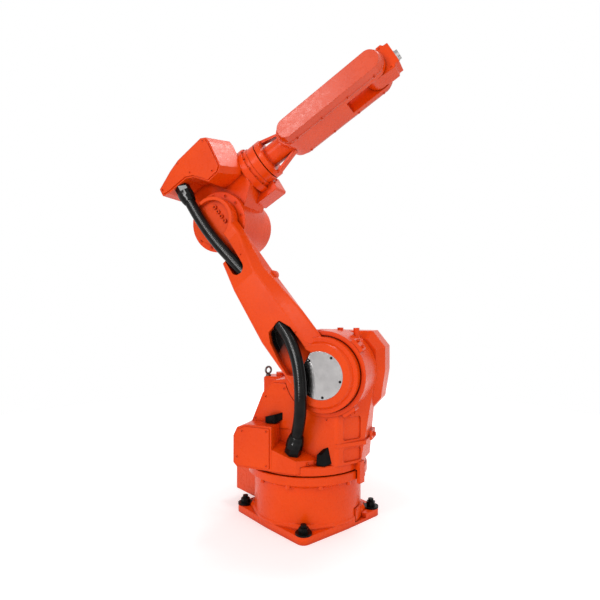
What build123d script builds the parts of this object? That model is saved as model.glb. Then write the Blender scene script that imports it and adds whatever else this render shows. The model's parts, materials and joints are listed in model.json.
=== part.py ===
"""Six-axis industrial robot arm, standing on its bolted foot, in the pose of the photograph.

Millimetres. Origin at the middle of the underside of the base; +Z up; +X is the front of the
base, away from the connector box. The arm is swung to the left of the base front, so every
link has its own frame, built from the joint angles below. In a link frame "side" is the
distance from the mid plane of the arm towards the lower arm.
"""
import os
from math import cos, radians, sin, tan

from build123d import *

# Joint angles of the pose
SWING_REST = 26.4        # arm plane from the base front
ARM_REST = 128.9         # lower arm above the horizontal, so it leans back
FOREARM_REST = 31.5      # forearm above the horizontal

# Link lengths
SHOULDER_OFFSET = 122.0  # swivel axis to shoulder axis
SHOULDER_HEIGHT = 547.0  # floor to shoulder axis
ARM_LENGTH = 710.0       # shoulder axis to elbow axis
FOREARM_RISE = 134.0     # elbow axis up to the forearm axis
WRIST_REACH = 770.0      # elbow axis to wrist axis, along the forearm
FLANGE_REACH = 100.0     # wrist axis to the tool face

# Clearances
SEAT = 0.3               # between the faces of a bearing
SEAM = 4.0               # open groove round a moving joint
SWEEP = 5.0              # free space beside a moving piece
JOINT_GAP = 0.2          # between two bolted pieces with curved faces

# Base
BOLT_SPACING = 335.0
LUG_RADIUS = 27.0
FOOT_THICKNESS = 26.0
WEB_SPACING = 268.0      # raised webs from the drum towards the lugs
WEB_RADIUS = 31.0
WEB_SKIRT = 4.0          # web round the drum
WEB_HEIGHT = 16.0
WEB_BEVEL = 10.0
DRUM_RADIUS = 199.0
RING_RADIUS = 222.0
RING_TOP = 204.0
RING_HEIGHT = 28.0
RING_FLARE = 14.0
RING_BEVEL = 3.0
RING_BOSSES = 12
RING_BOSS_RADIUS = 8.0
RING_BOSS_PITCH = 212.0
RING_BOSS_DROP = 14.0    # boss below the ring
BEARING_RADIUS = 170.0
SPIGOT_RADIUS = 120.0
SPIGOT_DEPTH = 14.0
ANCHOR_RADIUS = 10.0
ANCHOR_CLEARANCE = 1.0
ANCHOR_END = 10.0        # thread above the nut
ANCHOR_INSET = 2.0       # thread above the floor
WASHER_RADIUS = 28.0
WASHER_THICKNESS = 6.0
SPOT_MARGIN = 2.0        # spot face round the washer
NUT_RADIUS = 17.0
NUT_HEIGHT = 16.0
BOX_BACK = 290.0         # connector box, behind the drum
BOX_HALF_WIDTH = 132.0
BOX_BOTTOM = 46.0
BOX_TOP = 156.0
BOX_ROUND = 14.0
PORT_ANGLE = 22.0        # small port plate, low on the drum
PORT_REACH = 196.0
PORT_HEIGHT = 36.0
PORT_WIDTH = 50.0
PORT_DEPTH = 46.0
PORT_THICKNESS = 8.0
PORT_MARGIN = 2.0
PORT_ROUND = 6.0

# Turret
DISC_RADIUS = 216.0
DISC_THICKNESS = 30.0
DISC_BEVEL = 4.0
COLUMN_SIDE = 148.0      # near face of the column, beside the lower arm
COLUMN_FAR = 118.0       # far face
COLUMN_REAR = 165.0
COLUMN_CORNER = 165.0    # end of the near face, where it turns to the front
COLUMN_FAR_CORNER = 170.0
COLUMN_ROUND = 22.0
COLUMN_FRONT = 222.0     # front face at the foot
COLUMN_LEAN = 40.0       # how far the front face leans out at the crown
COLUMN_NOSE = 15.0       # half width of the front face at the crown
KNEE_HEIGHT = 347.0      # rear edge, from the foot to the crown
CROWN_HEIGHT = 512.0
CROWN_REAR = 76.0
CROWN_KNEE = 114.0
CROWN_DROP = 45.0
CROWN_ROUND = 20.0
BAY_FRONT = 95.0         # recess for the swivel motor
BAY_SIDE = 60.0
RIB_HEIGHT = 296.0       # level rib round the front
RIB_THICKNESS = 14.0
RIB_DEPTH = 9.0
RIB_START = 15.0
FRONT_RECESS_WIDTH = 74.0  # shallow recesses in the front, above and below the rib
FRONT_RECESS_DEPTH = 6.0
FRONT_RECESS_SHARE = 0.4   # their middle, between the corner and the nose of the column
FRONT_RECESS_HEIGHTS = ((244.0, 290.0), (318.0, 396.0))
FRONT_RECESS_ROUND = 8.0
LUG_LENGTH = 60.0        # bolted lug at the end of the rib
LUG_WIDTH = 28.0
LUG_HEIGHT = 34.0
LUG_ROUND = 8.0
TAB_ANGLE = -15.0        # stop tab that hangs beside the base ring
TAB_WIDTH = 30.0
TAB_THICKNESS = 12.0
TAB_DROP = 46.0
HOUSING_RADIUS = 147.0
HOUSING_RIM = 8.0        # rim that laps round the lower arm's ring
RING_SIDE = 150.0        # face on which the lower arm's ring turns
ARM_RING_RADIUS = 128.0
HUB_RADIUS = 100.0
PAD_ANGLES = (41.0, -55.0)  # bolted stop pads round the housing
PAD_LENGTH = 50.0
PAD_DEPTH = 24.0
PAD_START = 105.0
PAD_END = 152.0
PAD_ROUND = 6.0
PEG_RADIUS = 11.0        # pegs on top of the housing
PEG_HEIGHT = 153.0
PEG_LENGTH = 45.0
PEG_SIDE = 30.0
PEG_PLACES = (18.0, 78.0)
GEAR_NEAR = 5.0          # gear cover on the far side of the shoulder
GEAR_FAR = -122.0
GEAR_TOP = 140.0
GEAR_BOTTOM = 155.0
GEAR_FRONT = 170.0
GEAR_TUCK = 16.0         # how far the front leans in towards the bottom
GEAR_REAR = 150.0
GEAR_TOP_BEVEL = 45.0
GEAR_TOP_FALL = 56.0
GEAR_LOW_BEVEL = 62.0
GEAR_LOW_FALL = 52.0
GEAR_BEVEL = 27.0
MOTOR_PLACE = 140.0      # swivel motor, behind the swivel axis
MOTOR_SIDE = -20.0
MOTOR_WIDTH = 80.0
MOTOR_TOP = 505.0
MOTOR_ROUND = 14.0
MOTOR_BEVEL = 6.0
PLUG_PLACE = 122.0       # plug on top of the motor
PLUG_RADIUS = 17.0
PLUG_HEIGHT = 14.0
EYE_PLACE = 165.0        # lifting eye on the motor
EYE_RADIUS = 13.0
EYE_WIRE = 4.0
EYE_COLLAR = 10.0
EYE_STEM = 6.0
EYE_LIFT = 9.0           # wire above the motor
PLATE_THICKNESS = 4.0    # flat covers with small screws
PLATE_INSET = 7.0
PLATE_FRONT = 30.0       # upper side plate, ahead of the swivel axis

# Cable box on the near side of the turret
CABLE_FACE = 221.0       # near face, beyond the slewing disc
CABLE_REAR = 193.0
CABLE_BACK = 110.0       # how far it wraps round the rear edge
CABLE_BOTTOM = 215.0
CABLE_TOP = 366.0
CABLE_SPLIT = -45.0      # where the gland block starts
CABLE_BEVEL = 15.0       # cut-off rear corners
CABLE_TOP_FALL = 42.0
CABLE_TOP_SLOPE = 12.0   # fall of the top between the corner and the cover
CABLE_TOP_RUN = 32.0
CABLE_LOW_FALL = 14.0
GLAND_BLOCK_CORNER = 46.0
GLAND_BLOCK_END = 112.0
PLATFORM_HEIGHT = 274.0  # near edge of the gland platform, level with the swivel axis
PLATFORM_FALL = 0.315    # slope to the front
PLATFORM_TILT = 0.19     # slope to the near side
BUMPER_DEPTH = 28.0      # rubber stops
REAR_BUMPER_FOOT = ((-88, 368), (-88, 386), (-34, 403), (-34, 378))
REAR_BUMPER_FACE = ((-88, 368), (-88, 390), (-53, 399), (-50, 368))
FRONT_BUMPER_FOOT = ((114, 240), (116, 290), (135, 298), (147, 244))
FRONT_BUMPER_FACE = ((103, 240), (104, 276), (121, 276), (130, 240))

# Lower arm: along the arm from the shoulder axis, then to the rear
ARM_FACE = 198.0         # near face of the lower part
ARM_FRONT = 62.0         # front edge on the back of the casting
ARM_WAIST = 79.0         # widest front edge, beside the shoulder housing
WAIST_DEPTH = 30.0       # below the near face
ARM_RIDGE = 31.0         # front edge on the near face
FLARE_EDGE = 28.0        # edge of the near face, where it runs out into the shoulder ring
FLARE_RADIUS = 46.0
ARM_REAR = 110.0         # rear edge beside the cable pocket
ARM_DRAFT = 24.0         # how far the rear side slopes in to the back
ARM_STRAIGHT = 215.0     # end of the parallel part
ARM_ROUND = 11.0
STEP_START = 280.0       # step inwards, measured back from the elbow axis
STEP_END = 110.0
STEP_FRONT = 66.0
STEP_WAIST = 58.0
STEP_REAR = 82.0
TOP_FACE = 162.0         # near face of the upper part
TOP_RIDGE = 58.0
TOP_WAIST = 69.0
TOP_FRONT = 70.0
TOP_REAR = 64.0
TOP_RADIUS = 88.0        # round end at the elbow
TOP_RIM = 13.0           # wall round the bolt pocket
TOP_FLOOR = 145.0        # floor of the bolt pocket and of the hose slot
RECESS_START = 165.0     # rear recess, measured back from the elbow axis
RELIEF_RADIUS = 170.0    # round the shoulder housing
RING_FACE = 185.0        # flange of the shoulder ring
RIM_RADIUS = 106.0
RIM_FACE = 200.0
RIM_ROUND = 8.0
RIM_TAPER = 28.0
CAP_RADIUS = 81.0
CAP_THICKNESS = 5.0
CAP_DEPTH = 7.0          # cap seat below the rim
CAP_CHORD = 67.0         # straight side of the cap, towards the cable pocket
CAP_TURN = 20.0
POCKET = ((236, 2), (227, 60), (194, 78), (126, 91), (70, 95), (40, 60), (71, -30), (96, -16),
          (141, -18), (192, -17))
POCKET_FLOOR = 167.0
POCKET_ROUND = 10.0
WELL_WALL = 6.0          # between the shoulder housing and the deep end of the pocket
WELL_FLOOR = 145.0
SLOT_END = 233.0         # hose slot, measured back from the elbow axis
SLOT_WIDTH = 54.0
SLOT_MIDDLE = 19.0
BOSS_PLACE = 394.0       # small boss on the front edge
BOSS_RADIUS = 17.0
BOSS_BACK = 119.0
BOSS_LENGTH = 20.0

# Elbow
ELBOW_FACE = 111.0       # near face of the bolted ring
ELBOW_FAR = -125.0
ELBOW_RADIUS = 112.0
ELBOW_RING_RADIUS = 116.0
ELBOW_RING_WIDTH = 24.0
ELBOW_HUB_RADIUS = 70.0
ELBOW_BEVEL = 6.0
BLOCK_HALF_WIDTH = 78.0  # body between the drum and the neck
BLOCK = ((-98, 40), (-76, 176), (-20, 200), (120, 212), (178, 202), (178, 62), (108, 0), (0, 0))
BLOCK_ROUND = 14.0
COLLAR_START = 176.0     # flanged collar of the forearm roll
COLLAR_END = 204.0
COLLAR_RADIUS = 92.0
NECK_RADIUS = 78.0
NECK_LIP = 4.0           # step in front of the collar
NECK_LIP_END = 220.0
NECK_END = 254.0
NECK_HUB_RADIUS = 60.0
ROLL_MOTOR = (120, 236)  # motor housing under the neck: along the forearm, square to it
ROLL_MOTOR_LOW = 19.0
ROLL_MOTOR_HIGH = 95.0
ROLL_MOTOR_NEAR = -10.0
ROLL_MOTOR_FAR = -100.0
ROLL_MOTOR_BEVEL = 10.0
SIDE_BOX_FACE = 200.0    # side box over the elbow
SIDE_BOX_FLOOR = 177.0
SIDE_BOX_SLANT = 34.0    # how far its front runs on towards the back
SIDE_BOX_FRONT = ((136, 266), (156, 254), (159, 230), (152, 127), (131, 111))
SIDE_BOX_REST = ((80, 108), (60, 135), (35, 163), (8, SIDE_BOX_FLOOR), (-86, SIDE_BOX_FLOOR),
                 (-112, 184), (-111, 214), (-34, 245), (13, 258))
SIDE_PANEL_INSET = 6.0
SIDE_PANEL_THICKNESS = 5.0

# Forearm
ROOT_WIDTH = 20.0        # ring behind the struts
STEM_RADIUS = 42.0
STRUT_HALF_WIDTH = 12.0
STRUT_THICKNESS = 10.0
STRUT_END = 380.0
BODY_START = 352.0
BODY_HALF_HEIGHT = 48.0
BODY_HALF_WIDTH = 68.0
COVER_START = 361.0
COVER_FACE = 103.0
COVER_FLANGE = 6.0
COVER_LIP = 3.0
COVER_TAPER = 17.0
COVER_LUGS = 4
COVER_LUG_RADIUS = 6.5
COVER_LUG_MARGIN = 60.0
FORK_HALF_GAP = 45.5
FORK_DEPTH = 140.0

# Wrist and tool flange
WRIST_RADIUS = 46.0
PIN_RADIUS = 20.0
PIN_DEPTH = 16.0
WRIST_FACE = 85.0        # wrist axis to the seat of the tool flange
WRIST_NOSE = ((0, -44), (38, -49), (64, -49), (70, -40), (WRIST_FACE, -40), (WRIST_FACE, 40), (68, 42),
              (62, 51), (44, 51), (38, 43), (0, 45))
WRIST_ROUND = 2.0
FLANGE_RADIUS = 20.0
FLANGE_RIM = 6.0
FLANGE_NECK = 18.0
FLANGE_PITCH = 31.5
FLANGE_HOLES = 4
FLANGE_HOLE = 2.5
PILOT_RADIUS = 10.0
PILOT_DEPTH = 6.0

# Hoses and their glands
HOSE_RADIUS = 21.0
HOSE_CLEARANCE = 1.0
BORE_DEPTH = 70.0        # hole in the lower arm round the end of a hose
GLAND_RADIUS = 29.0
GLAND_HEX = 24.0
GLAND_COLLAR = 25.0
GLAND_LENGTH = 44.0
SHOULDER_GLAND = (19.0, 184.0)   # ahead of the swivel axis, side
ELBOW_GLAND = (-38.0, 170.0)     # along the forearm, side
HOSE_LEAD = 80.0         # straight stretch above the shoulder gland
ELBOW_HOSE_LEAD = 105.0
HOSE_BEND = 0.45         # share of a run that an arc may take
SHOULDER_BENDS = (       # ahead of the swivel axis, side, height
    (67, 230, 475),
    (66, 232, 537),
    (53, 225, 596),
    (28, 211, 649),
    (-8, 191, 693),
    (-51, 168, 725),
)
ELBOW_BENDS = (          # back from the elbow along the lower arm, rear, side
    (82, 33, 171),
    (170, 23, 170),
    (255, 15, 168),
)

# Link frames
UP = Vector(0, 0, 1)
AHEAD = Vector(1, 0, 0).rotate(Axis.Z, SWING_REST)
SIDE = AHEAD.rotate(Axis.Z, -90)


def rise(angle):
    """Direction in the arm plane, at an angle above the horizontal."""
    return AHEAD * cos(radians(angle)) + UP * sin(radians(angle))


SHOULDER = AHEAD * SHOULDER_OFFSET + UP * SHOULDER_HEIGHT
ELBOW = SHOULDER + rise(ARM_REST) * ARM_LENGTH
FOREARM = ELBOW + rise(FOREARM_REST + 90) * FOREARM_RISE
WRIST = FOREARM + rise(FOREARM_REST) * WRIST_REACH
FOREARM_AXIS = Axis(FOREARM, rise(FOREARM_REST))
ACROSS = Axis(SHOULDER, SIDE)


def turret_point(ahead, side, height):
    """Point in the turret's frame."""
    return AHEAD * ahead + SIDE * side + UP * height


def arm_point(reach, rear, side):
    """Point in the lower arm's frame."""
    return SHOULDER + rise(ARM_REST) * reach + rise(ARM_REST + 90) * rear + SIDE * side


def level(height):
    """Level sketch plane of the turret: x ahead, y left."""
    return Plane(origin=UP * height, x_dir=AHEAD, z_dir=UP)


def turret_side(side):
    """Upright sketch plane: x ahead of the swivel axis, y above the floor."""
    return Plane(origin=SIDE * side, x_dir=AHEAD, z_dir=SIDE)


def shoulder_side(side):
    """Upright sketch plane round the shoulder axis."""
    return Plane(origin=SHOULDER + SIDE * side, x_dir=AHEAD, z_dir=SIDE)


def arm_side(side):
    """Sketch plane on the lower arm: x from shoulder to elbow, y to the rear."""
    return Plane(origin=SHOULDER + SIDE * side, x_dir=rise(ARM_REST), z_dir=SIDE)


def arm_section(reach):
    """Sketch plane across the lower arm: x to the rear, y is the side distance."""
    return Plane(origin=arm_point(reach, 0, 0), x_dir=rise(ARM_REST + 90), z_dir=rise(ARM_REST))


def elbow_side(side):
    """Sketch plane on the forearm: x along it from the elbow axis, y square to it."""
    return Plane(origin=ELBOW + SIDE * side, x_dir=rise(FOREARM_REST), z_dir=SIDE)


def wrist_side(side):
    """Sketch plane round the wrist axis."""
    return Plane(origin=WRIST + SIDE * side, x_dir=rise(FOREARM_REST), z_dir=SIDE)


def section(reach):
    """Sketch plane across the forearm axis: x left, y square to the forearm."""
    return Plane(origin=FOREARM + rise(FOREARM_REST) * reach, x_dir=-SIDE, z_dir=rise(FOREARM_REST))


def along(side=0):
    """Sketch plane through the forearm axis, or beside it: x along it, y square to it."""
    return Plane(origin=FOREARM + SIDE * side, x_dir=rise(FOREARM_REST), z_dir=SIDE)


def port_plane(reach):
    """Upright sketch plane on the drum: x round it, y above the floor."""
    out = Vector(1, 0, 0).rotate(Axis.Z, PORT_ANGLE)
    return Plane(origin=out * reach, x_dir=out.rotate(Axis.Z, 90), z_dir=out)


def front_plane():
    """Upright sketch plane on the slanted front of the column: x along it, y above the floor."""
    corner = turret_point(COLUMN_CORNER, COLUMN_SIDE, 0)
    run = turret_point(COLUMN_FRONT + COLUMN_LEAN, COLUMN_NOSE, 0) - corner
    return Plane(origin=corner + run * FRONT_RECESS_SHARE, x_dir=run, z_dir=run.cross(UP))


def hose_radii(points):
    """The largest arcs that the runs of a hose leave room for."""
    radii = []
    for before, corner, after in zip(points, points[1:], points[2:]):
        turn = (corner - before).get_angle(after - corner)
        shorter = min((corner - before).length, (after - corner).length)
        radii.append(HOSE_BEND * shorter / tan(radians(turn / 2)))
    return radii


# Heights and places that follow from the sizes
TURRET_FLOOR = RING_TOP + SEAM
DISC_TOP = TURRET_FLOOR + DISC_THICKNESS
RING_UNDER = RING_TOP - RING_HEIGHT
ARM_BACK = ELBOW_FACE + SWEEP
ARM_INSIDE = COLUMN_SIDE + HOUSING_RIM + SWEEP
CAP_SEAT = RIM_FACE - CAP_DEPTH
ROOT_START = NECK_END + SEAM
WRIST_HALF_WIDTH = FORK_HALF_GAP - SWEEP

PLATFORM_NORMAL = (AHEAD * PLATFORM_FALL + SIDE * PLATFORM_TILT + UP).normalized()
PLATFORM_MIDDLE = turret_point(
    SHOULDER_GLAND[0],
    SHOULDER_GLAND[1],
    PLATFORM_HEIGHT - PLATFORM_FALL * SHOULDER_GLAND[0] + PLATFORM_TILT * (CABLE_FACE - SHOULDER_GLAND[1]),
)
ELBOW_GLAND_FOOT = (
    ELBOW
    + rise(FOREARM_REST) * ELBOW_GLAND[0]
    + rise(FOREARM_REST + 90) * SIDE_BOX_FLOOR
    + SIDE * ELBOW_GLAND[1]
)
ELBOW_GLAND_WAY = -rise(FOREARM_REST + 90)

# Hose routes: from the gland past the shoulder into the pocket, and from the elbow into the slot
SHOULDER_GLAND_TOP = PLATFORM_MIDDLE + PLATFORM_NORMAL * GLAND_LENGTH
SHOULDER_ROUTE = [
    SHOULDER_GLAND_TOP,
    SHOULDER_GLAND_TOP + PLATFORM_NORMAL * HOSE_LEAD,
    *[turret_point(*bend) for bend in SHOULDER_BENDS],
]
ELBOW_GLAND_TOP = ELBOW_GLAND_FOOT + ELBOW_GLAND_WAY * GLAND_LENGTH
ELBOW_ROUTE = [
    ELBOW_GLAND_TOP,
    ELBOW_GLAND_TOP + ELBOW_GLAND_WAY * ELBOW_HOSE_LEAD,
    *[arm_point(ARM_LENGTH - back, rear, side) for back, rear, side in ELBOW_BENDS],
]


def end_plane(route):
    """Sketch plane at the far end of a hose, square to its last run."""
    return Plane(origin=route[-1], z_dir=route[-1] - route[-2])


# Base casting: foot with a lug and a web at each anchor, drum, flared ring with bosses under it
with BuildPart() as base_casting:
    with BuildSketch():
        Circle(DRUM_RADIUS)
        with GridLocations(BOLT_SPACING, BOLT_SPACING, 2, 2):
            Circle(LUG_RADIUS)
        make_hull()
    extrude(amount=FOOT_THICKNESS)
    with BuildSketch(Plane.XY.offset(FOOT_THICKNESS)):
        Circle(DRUM_RADIUS + WEB_SKIRT)
        with GridLocations(WEB_SPACING, WEB_SPACING, 2, 2):
            Circle(WEB_RADIUS)
        make_hull()
    extrude(amount=WEB_HEIGHT)
    chamfer(base_casting.edges().group_by(Axis.Z)[-1], WEB_BEVEL)
    with BuildSketch(Plane.XZ):
        with BuildLine():
            Polyline(
                (0, 0),
                (DRUM_RADIUS, 0),
                (DRUM_RADIUS, RING_UNDER - RING_FLARE),
                (RING_RADIUS, RING_UNDER),
                (RING_RADIUS, RING_TOP - RING_BEVEL),
                (RING_RADIUS - RING_BEVEL, RING_TOP),
                (BEARING_RADIUS, RING_TOP),
                (BEARING_RADIUS, TURRET_FLOOR - SEAT),
                (SPIGOT_RADIUS + SEAT, TURRET_FLOOR - SEAT),
                (SPIGOT_RADIUS + SEAT, TURRET_FLOOR - SPIGOT_DEPTH - SEAT),
                (0, TURRET_FLOOR - SPIGOT_DEPTH - SEAT),
                close=True,
            )
        make_face()
    revolve(axis=Axis.Z)
    with BuildSketch(Plane.XY.offset(FOOT_THICKNESS)):
        with GridLocations(BOLT_SPACING, BOLT_SPACING, 2, 2):
            Circle(WASHER_RADIUS + SPOT_MARGIN)
    extrude(amount=RING_UNDER - RING_BOSS_DROP - FOOT_THICKNESS, mode=Mode.SUBTRACT)
    with BuildSketch(Plane.XY.offset(RING_UNDER - RING_BOSS_DROP)):
        with PolarLocations(RING_BOSS_PITCH, RING_BOSSES):
            Circle(RING_BOSS_RADIUS)
    extrude(amount=RING_BOSS_DROP)
    with BuildSketch():
        with GridLocations(BOLT_SPACING, BOLT_SPACING, 2, 2):
            Circle(ANCHOR_RADIUS + ANCHOR_CLEARANCE)
    extrude(amount=FOOT_THICKNESS, mode=Mode.SUBTRACT)
    with BuildSketch(port_plane(PORT_REACH)):
        with Locations((0, PORT_HEIGHT)):
            Rectangle(PORT_WIDTH + 2 * PORT_MARGIN, PORT_DEPTH + 2 * PORT_MARGIN)
    extrude(amount=RING_RADIUS - PORT_REACH, mode=Mode.SUBTRACT)

with BuildPart() as base_port_plate:
    with BuildSketch(port_plane(PORT_REACH)):
        with Locations((0, PORT_HEIGHT)):
            RectangleRounded(PORT_WIDTH, PORT_DEPTH, PORT_ROUND)
    extrude(amount=PORT_THICKNESS)

with BuildPart() as connector_box:
    with BuildSketch(Plane.XY.offset(BOX_BOTTOM)):
        with Locations((-BOX_BACK / 2, 0)):
            Rectangle(BOX_BACK, 2 * BOX_HALF_WIDTH)
    extrude(amount=BOX_TOP - BOX_BOTTOM)
    fillet(connector_box.edges().filter_by(Axis.Z).group_by(Axis.X)[0], BOX_ROUND)
    chamfer(connector_box.edges().group_by(Axis.Z)[-1], BOX_ROUND / 2)
    with BuildSketch(Plane.XY.offset(BOX_BOTTOM)):
        Circle(DRUM_RADIUS + JOINT_GAP)
    extrude(amount=BOX_TOP - BOX_BOTTOM, mode=Mode.SUBTRACT)

with BuildPart() as anchor_bolts:
    with BuildSketch(Plane.XY.offset(FOOT_THICKNESS)):
        with GridLocations(BOLT_SPACING, BOLT_SPACING, 2, 2):
            Circle(WASHER_RADIUS)
    extrude(amount=WASHER_THICKNESS)
    with BuildSketch(Plane.XY.offset(FOOT_THICKNESS + WASHER_THICKNESS)):
        with GridLocations(BOLT_SPACING, BOLT_SPACING, 2, 2):
            RegularPolygon(NUT_RADIUS, 6)
    extrude(amount=NUT_HEIGHT)
    with BuildSketch(Plane.XY.offset(ANCHOR_INSET)):
        with GridLocations(BOLT_SPACING, BOLT_SPACING, 2, 2):
            Circle(ANCHOR_RADIUS)
    extrude(amount=FOOT_THICKNESS + WASHER_THICKNESS + NUT_HEIGHT + ANCHOR_END - ANCHOR_INSET)

# Gear cover on the far side of the shoulder, bevelled on both faces
with BuildPart() as shoulder_gear_cover:
    with BuildSketch(shoulder_side(GEAR_FAR)):
        with BuildLine():
            Polyline(
                (GEAR_FRONT - GEAR_TOP_BEVEL, GEAR_TOP),
                (GEAR_FRONT, GEAR_TOP - GEAR_TOP_FALL),
                (GEAR_FRONT, 0),
                (GEAR_FRONT - GEAR_TUCK, -GEAR_BOTTOM + GEAR_LOW_FALL),
                (GEAR_FRONT - GEAR_LOW_BEVEL, -GEAR_BOTTOM),
                (-GEAR_REAR + GEAR_LOW_BEVEL, -GEAR_BOTTOM),
                (-GEAR_REAR + GEAR_TUCK, -GEAR_BOTTOM + GEAR_LOW_FALL),
                (-GEAR_REAR, 0),
                (-GEAR_REAR, GEAR_TOP - GEAR_TOP_FALL),
                (-GEAR_REAR + GEAR_TOP_BEVEL, GEAR_TOP),
                close=True,
            )
        make_face()
    extrude(amount=GEAR_NEAR - GEAR_FAR)
    chamfer(shoulder_gear_cover.faces().sort_by(ACROSS)[-1].edges(), GEAR_BEVEL)
    chamfer(shoulder_gear_cover.faces().sort_by(ACROSS)[0].edges(), GEAR_BEVEL)

# Column of the turret: its plan crossed with its side outline
with BuildPart() as column:
    with BuildSketch(level(DISC_TOP - DISC_BEVEL)):
        with BuildLine():
            FilletPolyline(
                (-COLUMN_REAR, -COLUMN_SIDE),
                (COLUMN_CORNER, -COLUMN_SIDE),
                (COLUMN_FRONT + COLUMN_LEAN, -COLUMN_NOSE),
                (COLUMN_FRONT + COLUMN_LEAN, COLUMN_NOSE),
                (COLUMN_FAR_CORNER, COLUMN_FAR),
                (-BAY_FRONT, COLUMN_FAR),
                (-BAY_FRONT, -BAY_SIDE),
                (-COLUMN_REAR, -BAY_SIDE),
                radius=[0, COLUMN_ROUND, 0, 0, 0, 0, 0, 0],
                close=True,
            )
        make_face()
    extrude(amount=SHOULDER_HEIGHT - DISC_TOP)
    with BuildSketch(turret_side(-COLUMN_FAR)):
        with BuildLine():
            FilletPolyline(
                (-COLUMN_REAR, TURRET_FLOOR),
                (-COLUMN_REAR, KNEE_HEIGHT),
                (-CROWN_KNEE, CROWN_HEIGHT - CROWN_DROP),
                (-CROWN_REAR, CROWN_HEIGHT),
                (SHOULDER_OFFSET, SHOULDER_HEIGHT),
                (COLUMN_FRONT + COLUMN_LEAN, CROWN_HEIGHT),
                (COLUMN_FRONT, TURRET_FLOOR),
                radius=[0, CROWN_ROUND, CROWN_ROUND, CROWN_ROUND, 0, 0, 0],
                close=True,
            )
        make_face()
    extrude(amount=COLUMN_SIDE + COLUMN_FAR, mode=Mode.INTERSECT)

# Turret casting: slewing disc, column, shoulder housing with its pads and pegs
RIB_FRONT = COLUMN_FRONT + COLUMN_LEAN * (RIB_HEIGHT - TURRET_FLOOR) / (CROWN_HEIGHT - TURRET_FLOOR)
NOSE_SHARE = (RIB_FRONT - COLUMN_CORNER) / (COLUMN_FRONT + COLUMN_LEAN - COLUMN_CORNER)
RIB_SIDE = COLUMN_SIDE - (COLUMN_SIDE - COLUMN_NOSE) * NOSE_SHARE
TAB_REACH = RING_RADIUS + SEAM + TAB_THICKNESS
with BuildPart() as turret_casting:
    with BuildSketch(level(TURRET_FLOOR)):
        Circle(DISC_RADIUS)
    extrude(amount=DISC_THICKNESS)
    chamfer(turret_casting.edges().group_by(Axis.Z)[-1], DISC_BEVEL)
    with BuildSketch(level(TURRET_FLOOR - SPIGOT_DEPTH)):
        Circle(SPIGOT_RADIUS)
    extrude(amount=SPIGOT_DEPTH)
    add(column.part)
    with BuildSketch(level(RIB_HEIGHT)):
        with BuildLine():
            Polyline(
                (COLUMN_CORNER - RIB_START, -COLUMN_SIDE + RIB_DEPTH),
                (COLUMN_CORNER - RIB_DEPTH / 2, -COLUMN_SIDE + RIB_DEPTH),
                (RIB_FRONT, -RIB_SIDE),
                (RIB_FRONT, LUG_LENGTH),
            )
        trace(line_width=2 * RIB_DEPTH)
    extrude(amount=RIB_THICKNESS)
    with BuildSketch(level(RIB_HEIGHT)):
        with Locations((RIB_FRONT, LUG_LENGTH / 2)):
            RectangleRounded(LUG_WIDTH, LUG_LENGTH, LUG_ROUND)
    extrude(amount=LUG_HEIGHT)
    for low, high in FRONT_RECESS_HEIGHTS:
        with BuildSketch(front_plane()):
            with Locations((0, (low + high) / 2)):
                RectangleRounded(FRONT_RECESS_WIDTH, high - low, FRONT_RECESS_ROUND)
        extrude(amount=-FRONT_RECESS_DEPTH, mode=Mode.SUBTRACT)
    with BuildSketch(level(TURRET_FLOOR)):
        with PolarLocations(TAB_REACH - TAB_WIDTH / 2, 1, start_angle=TAB_ANGLE):
            Rectangle(TAB_WIDTH, TAB_WIDTH)
    extrude(amount=DISC_THICKNESS)
    with BuildSketch(level(TURRET_FLOOR - TAB_DROP)):
        with PolarLocations(TAB_REACH - TAB_THICKNESS / 2, 1, start_angle=TAB_ANGLE):
            Rectangle(TAB_THICKNESS, TAB_WIDTH)
    extrude(amount=TAB_DROP)
    with BuildSketch(shoulder_side(GEAR_NEAR)):
        Circle(HOUSING_RADIUS)
    extrude(amount=COLUMN_SIDE + HOUSING_RIM - GEAR_NEAR)
    with BuildSketch(shoulder_side(PAD_START)):
        for angle in PAD_ANGLES:
            with PolarLocations(HOUSING_RADIUS, 1, start_angle=angle):
                RectangleRounded(PAD_DEPTH, PAD_LENGTH, PAD_ROUND)
    extrude(amount=PAD_END - PAD_START)
    with BuildSketch(level(SHOULDER_HEIGHT + PEG_HEIGHT)):
        with Locations(*[(SHOULDER_OFFSET + place, -PEG_SIDE) for place in PEG_PLACES]):
            Circle(PEG_RADIUS)
    extrude(amount=-PEG_LENGTH)
    with BuildSketch(shoulder_side(RING_SIDE - SWEEP)):
        Circle(ARM_RING_RADIUS + SEAM)
        Circle(HUB_RADIUS, mode=Mode.SUBTRACT)
    extrude(amount=COLUMN_SIDE, mode=Mode.SUBTRACT)
    with BuildSketch(shoulder_side(RING_SIDE)):
        Circle(ARM_RING_RADIUS)
    extrude(amount=COLUMN_SIDE, mode=Mode.SUBTRACT)
    add(shoulder_gear_cover.part, mode=Mode.SUBTRACT)

with BuildPart() as swivel_motor:
    with BuildSketch(level(DISC_TOP)):
        with Locations((-MOTOR_PLACE, -MOTOR_SIDE)):
            RectangleRounded(MOTOR_WIDTH, MOTOR_WIDTH, MOTOR_ROUND)
    extrude(amount=MOTOR_TOP - DISC_TOP)
    chamfer(swivel_motor.edges().group_by(Axis.Z)[-1], MOTOR_BEVEL)
    with BuildSketch(level(MOTOR_TOP)):
        with Locations((-PLUG_PLACE, -MOTOR_SIDE)):
            Circle(PLUG_RADIUS)
    extrude(amount=PLUG_HEIGHT)

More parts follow.
